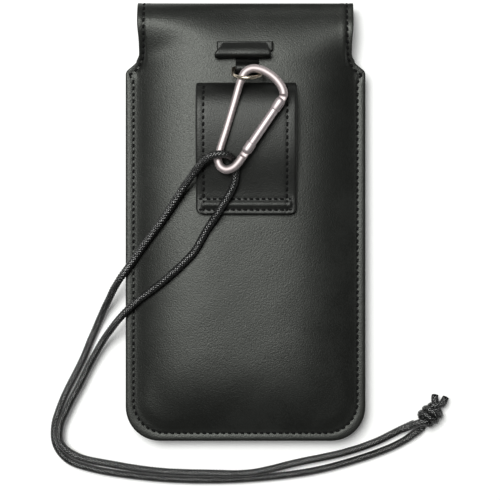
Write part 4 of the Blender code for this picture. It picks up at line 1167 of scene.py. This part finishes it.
def hook_shape(i, p, a):
    """The straight spine is ground with flats and a slanting rope-like knurl on its outer side."""
    if not (-13.0 < p[0] < 0.2 and 29.0 < p[1] < 59.5):
        return 1.0
    f = float(sm(29.0, 31.5, p[1]) * sm(59.5, 57.0, p[1]))
    flat = 1.0 - 0.065 * f * (1 - abs(math.cos(3 * a + 0.5))) ** 0.5
    ph = hook_cum[i] / 1.75 * 2 * math.pi + a * 2.0
    side = 0.5 + 0.5 * math.cos(a - 0.6)
    return flat * (1 + 0.045 * f * side * (abs(math.sin(ph / 2)) ** 0.6 - 0.6))


hook_rod = rod("hook_rod", hook_line, HOOK_N, hook_section, M_HOOK, sides=36, shape=hook_shape, sharp=35)
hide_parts("snap_hook_body")
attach(hook_rod, "snap_hook")


def gate_mesh():
    """Turned sleeve: collared ends, a waist, slots for the tongues, and a blind bore."""
    L = GATE_L
    prof = [(-1.62, 0.05), (-1.6, 0.9), (-1.2, 1.5), (-0.6, 1.95), (-0.1, 2.14), (0.2, 2.18), (3.55, 2.18), (3.75, 2.1), (3.9, 1.92),
            (4.1, 1.88), (4.4, 1.9), (L - 4.6, 1.9), (L - 4.3, 1.88), (L - 4.1, 1.92), (L - 3.95, 2.1), (L - 3.75, 2.18), (L + 0.2, 2.18),
            (L + 1.0, 2.0), (L + 1.6, 1.4), (L + 1.62, 0.05)]
    side = np.cross(GATE_DIR, HOOK_N)
    sides = 48
    verts, faces = [], []
    for s, r in prof:
        for k in range(sides):
            a = 2 * math.pi * (k + 0.5) / sides
            verts.append(P3 + GATE_DIR * s + side * (r * math.cos(a)) + HOOK_N * (r * math.sin(a)))
    n = len(prof)
    for i in range(n - 1):
        for k in range(sides):
            a, b = i * sides + k, i * sides + (k + 1) % sides
            faces.append([a, b, b + sides, a + sides])
    faces.append(list(reversed(range(sides))))
    faces.append(list(range((n - 1) * sides, n * sides)))
    ob = mesh_object("gate_sleeve", verts, faces, M_GATE, sharp=35)
    # slots for the two flat tongues, and the spring's bore
    def box_cutter(s0, s1, half_w, half_n, name):
        pts = []
        for s in (s0, s1):
            for u in (-half_w, half_w):
                for v in (-half_n, half_n):
                    pts.append(P3 + GATE_DIR * s + side * u + HOOK_N * v)
        f = [[0, 1, 3, 2], [4, 6, 7, 5], [0, 4, 5, 1], [2, 3, 7, 6], [0, 2, 6, 4], [1, 5, 7, 3]]
        return mesh_object(name, pts, f, M_PIN, smooth=False)
    def bore_cutter(s0, s1, r):
        pts, f = [], []
        m = 32
        for s in (s0, s1):
            for k in range(m):
                a = 2 * math.pi * k / m
                pts.append(P3 + GATE_DIR * s + side * (r * math.cos(a)) + HOOK_N * (r * math.sin(a)))
        for k in range(m):
            f.append([k, (k + 1) % m, (k + 1) % m + m, k + m])
        f.append(list(reversed(range(m))))
        f.append(list(range(m, 2 * m)))
        return mesh_object("gate_bore", pts, f, M_PIN, smooth=False)
    cutters = [box_cutter(-3.0, 3.45, 2.6, 0.975, "gate_fork"), box_cutter(L - 3.45, L + 3.0, 2.6, 0.975, "gate_head"),
               bore_cutter(3.3, L - 3.3, 1.35)]
    for c in cutters:
        m = ob.modifiers.new("cut", "BOOLEAN")
        m.operation = "DIFFERENCE"
        m.solver = "EXACT"
        m.object = c
    dg = bpy.context.evaluated_depsgraph_get()
    me = bpy.data.meshes.new_from_object(ob.evaluated_get(dg))
    ob.modifiers.clear()
    ob.data = me
    me.set_sharp_from_angle(angle=math.radians(35))
    for c in cutters:
        bpy.data.objects.remove(c)
    return ob


gate_sleeve = gate_mesh()
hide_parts("gate_tube")
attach(gate_sleeve, "gate")

# ---- the lanyard: a round braid, its knot and the two cut tails --------------------
CORD_ROUTE = [
    (77.6, -93.4, 2.9), (71.9, -97.5, 2.0), (65.1, -101.0, 1.9), (51.1, -106.1, 1.9), (30.1, -111.6, 1.9), (2.0, -115.0, 1.9),
    (-24.0, -115.6, 1.9), (-44.9, -114.3, 1.9), (-68.9, -110.6, 1.9), (-79.9, -106.5, 1.9), (-85.1, -99.9, 1.9), (-85.8, -91.5, 1.9),
    (-81.8, -79.0, 1.9), (-76.6, -68.4, 1.9), (-73.2, -61.6, 1.9), (-69.4, -52.4, 1.9), (-67.2, -47.5, 2.2), (-64.3, -41.0, 4.2),
    (-61.5, -35.6, 7.2), (-58.9, -30.6, 10.0), (-55.8, -25.6, 13.1), (-52.2, -20.6, 14.0), (-47.6, -14.2, 13.8), (-44.4, -9.8, 15.2),
    (-40.6, -4.8, 16.9), (-36.3, 0.9, 18.9), (-32.0, 7.2, 20.6), (-27.7, 13.6, 22.9), (-23.1, 19.8, 26.4), (-18.7, 25.1, 30.2),
    (-14.9, 27.8, 32.6), (-11.3, 28.6, 33.3), (-8.3, 28.5, 32.4), (-6.3, 27.5, 30.0), (-5.1, 25.4, 27.6), (-4.2, 22.4, 26.9),
    (-4.2, 19.8, 26.3), (-5.2, 15.4, 25.0), (-8.6, 9.2, 24.2), (-12.5, 3.1, 23.7), (-16.9, -3.5, 20.9), (-22.4, -13.0, 20.1),
    (-29.0, -19.8, 19.9), (-35.0, -25.1, 19.0), (-41.0, -29.9, 16.4), (-46.6, -34.0, 14.2), (-51.4, -38.2, 14.4), (-55.6, -42.6, 13.8),
    (-59.4, -47.2, 10.8), (-63.9, -53.4, 7.0), (-69.6, -63.4, 5.0), (-73.8, -71.9, 5.0), (-79.2, -82.3, 5.1), (-82.9, -91.5, 5.2),
    (-82.6, -98.6, 5.2), (-75.9, -104.3, 4.9), (-58.9, -108.4, 4.3), (-38.1, -111.3, 4.9), (-16.9, -112.1, 4.9), (2.0, -112.0, 5.0),
    (23.1, -107.6, 3.2), (44.2, -103.2, 2.4), (58.1, -98.6, 2.1), (69.4, -93.0, 2.6), (75.6, -89.9, 4.0)]


def transport(line):
    """Frames carried along a line without spinning."""
    P = [np.asarray(p, float) for p in line]
    n = len(P)
    T = [P[min(i + 1, n - 1)] - P[max(i - 1, 0)] for i in range(n)]
    T = [t / (np.linalg.norm(t) + 1e-12) for t in T]
    u = np.cross(T[0], (0, 0, 1.0))
    if np.linalg.norm(u) < 1e-3:
        u = np.cross(T[0], (0, 1.0, 0))
    u = u / np.linalg.norm(u)
    U = [u]
    for i in range(1, n):
        v = U[-1] - T[i] * float(U[-1] @ T[i])
        U.append(v / np.linalg.norm(v))
    W = [np.cross(t, a) for t, a in zip(T, U)]
    return P, T, U, W


def braid(line, radius, yarns=12, pitch=8.7, yarn_w=0.47, yarn_t=0.46, amp=0.52, step=0.42, phase0=0.0, taper=None):
    """Half the yarns wind each way, each one passing over and under the others in turn; a core fills the middle."""
    line = resample(line, step)
    P, T, U, W = transport(line)
    n = len(P)
    P, U, W, T = np.array(P), np.array(U), np.array(W), np.array(T)
    s = np.concatenate([[0], np.cumsum(np.linalg.norm(P[1:] - P[:-1], axis=1))])
    half = yarns // 2
    verts, faces = [], []
    sec = [(-1.0, 0.0), (-0.55, 0.8), (0.55, 0.8), (1.0, 0.0), (0.0, -0.75)]
    rr = np.full(n, radius) if taper is None else radius * np.array([taper(v, s[-1]) for v in s])
    for way in (1, -1):
        for j in range(half):
            th = way * (2 * math.pi * s / pitch) + 2 * math.pi * j / half + phase0
            # each yarn goes over one and under the next
            wave = way * np.cos(2 * math.pi * half * s / pitch)
            r = rr - yarn_t * 0.5 - amp * 0.5 + amp * 0.5 * wave
            rad = U * np.cos(th)[:, None] + W * np.sin(th)[:, None]
            c = P + rad * r[:, None]
            tan = np.gradient(c, axis=0)
            tan /= np.linalg.norm(tan, axis=1)[:, None] + 1e-12
            out = rad - tan * np.sum(rad * tan, axis=1)[:, None]
            out /= np.linalg.norm(out, axis=1)[:, None] + 1e-12
            sd = np.cross(tan, out)
            base = len(verts)
            k = len(sec)
            pts = np.stack([c + sd * (a * yarn_w) + out * (b * yarn_t * 0.5) for a, b in sec], axis=1)
            verts += list(pts.reshape(-1, 3))
            for i in range(n - 1):
                for m in range(k):
                    a, b = base + i * k + m, base + i * k + (m + 1) % k
                    faces.append([a, b, b + k, a + k])
            faces.append([base + m for m in reversed(range(k))])
            faces.append([base + (n - 1) * k + m for m in range(k)])
    return verts, faces, line


def core(line, radius, sides=10, step=1.2, round_ends=False):
    line = resample(line, step)
    P, T, U, W = transport(line)
    verts, faces = [], []
    n = len(P)
    for i in range(n):
        for k in range(sides):
            a = 2 * math.pi * k / sides
            verts.append(P[i] + U[i] * radius * math.cos(a) + W[i] * radius * math.sin(a))
    for i in range(n - 1):
        for k in range(sides):
            a, b = i * sides + k, i * sides + (k + 1) % sides
            faces.append([a, b, b + sides, a + sides])
    faces.append(list(reversed(range(sides))))
    faces.append([(n - 1) * sides + k for k in range(sides)])
    return verts, faces


def cord_object(name, line, radius, step=0.62, taper=None, core_mat=M_CORE):
    v1, f1, used = braid(line, radius, step=step, taper=taper)
    v2, f2 = core(line, radius * 0.82)
    v, f = merge([(v1, f1), (v2, f2)])
    ob = mesh_object(name, v, f, M_CORD, sharp=70)
    if core_mat is not None:
        ob.data.materials.append(core_mat)
        for p in ob.data.polygons[len(f1):]:
            p.material_index = 1
    return ob, used


smooth_route = catmull([np.array(p) for p in CORD_ROUTE], 16)
lanyard, used_line = cord_object("lanyard_braid", smooth_route, CORD_R, step=0.46)
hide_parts("lanyard_cord")
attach(lanyard, "snap_hook")

# the overhand knot both ends are tied in, drawn up tight, and the tails past it
KC = np.array((82.5, -86.2, 4.75))
K_AX = np.array((math.cos(math.radians(40)), math.sin(math.radians(40)), 0.0))
K_SIDE = np.array((-K_AX[1], K_AX[0], 0.0))


def knot_turns(phase, a0, a1, turns, r=3.35, flat=0.78):
    """One strand's turns about the knot's own axis."""
    out = []
    n = int(16 * turns)
    for k in range(n + 1):
        f = k / n
        ang = phase + 2 * math.pi * turns * f
        rad = r * (0.80 + 0.20 * math.sin(math.pi * f))
        out.append(KC + K_AX * (a0 + (a1 - a0) * f) + K_SIDE * (rad * math.cos(ang)) +
                   np.array((0, 0, 1.0)) * (rad * flat * math.sin(ang)))
    return out


T_A = knot_turns(math.radians(100), -3.6, 3.4, 1.25)
T_B = knot_turns(math.radians(280), -3.6, 3.4, 1.25)
KNOT_LINE_A = [(69.4, -93.0, 2.6), (73.4, -91.3, 4.0), (76.6, -89.8, 6.0)] + T_A + [(84.9, -80.6, 4.4), (84.7, -78.6, 4.0),
                                                                             (84.9, -77.2, 3.6)]
KNOT_LINE_B = [(71.9, -97.5, 2.0), (76.0, -94.4, 2.1), (79.6, -91.6, 2.2)] + T_B + [(88.0, -81.2, 4.2), (89.0, -79.7, 3.8),
                                                                            (89.8, -78.3, 3.4)]


def end_taper(v, total):
    """The cut and sealed end: drawn in and rounded over the last millimetre."""
    e = total - v
    return math.sqrt(max(0.10, 1 - max(0.0, (1.3 - e) / 1.45) ** 2))


knot_a, _ = cord_object("knot_strand_a", catmull([np.array(p) for p in KNOT_LINE_A], 8), CORD_R, step=0.42, taper=end_taper)
knot_b, _ = cord_object("knot_strand_b", catmull([np.array(p) for p in KNOT_LINE_B], 8), CORD_R, step=0.42, taper=end_taper)
knot_c, _ = cord_object("knot_heart", [KC - K_AX * 3.8, KC, KC + K_AX * 3.8], 2.1, step=0.42)
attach(knot_c, "snap_hook")
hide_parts("cord_knot", "cord_tail_long")
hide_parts("cord_tail_short")
for ob in (knot_a, knot_b):
    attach(ob, "snap_hook")
line_m = [tuple(float(c) * MM for c in p) for p in resample(used_line, 4.0)]

# ------------------------------------------------------------- floor, light ----
floor_me = bpy.data.meshes.new("floor")
S = 3.0
floor_me.from_pydata([(-S, -S, -0.0002), (S, -S, -0.0002), (S, S, -0.0002), (-S, S, -0.0002)], [], [[0, 1, 2, 3]])
floor = bpy.data.objects.new("floor", floor_me)
scene.collection.objects.link(floor)
m_floor, nt_floor, b_floor = new_material("paper_white")
b_floor.inputs["Base Color"].default_value = (0.93, 0.93, 0.93, 1)
b_floor.inputs["Roughness"].default_value = 1.0
b_floor.inputs["Specular IOR Level"].default_value = 0.0
b_floor.inputs["Emission Color"].default_value = (1, 1, 1, 1)
b_floor.inputs["Emission Strength"].default_value = 0.13
floor_me.materials.append(m_floor)

world = bpy.data.worlds.new("studio")
scene.world = world
world.use_nodes = True
world.node_tree.nodes["Background"].inputs["Color"].default_value = (0.97, 1.0, 0.96, 1)
world.node_tree.nodes["Background"].inputs["Strength"].default_value = 0.10


def area(name, loc, target, size, power, color=(1, 1, 1)):
    ld = bpy.data.lights.new(name, "AREA")
    ld.shape = "RECTANGLE"
    ld.size, ld.size_y = size
    ld.energy = power
    ld.color = color
    ob = bpy.data.objects.new(name, ld)
    scene.collection.objects.link(ob)
    ob.location = loc
    d = Vector(target) - Vector(loc)
    ob.rotation_euler = d.to_track_quat("-Z", "Y").to_euler()
    return ob


area("key", (-0.28, 0.32, 1.25), (0, 0, 0), (0.62, 0.58), 20.0, (0.99, 1.0, 0.98))
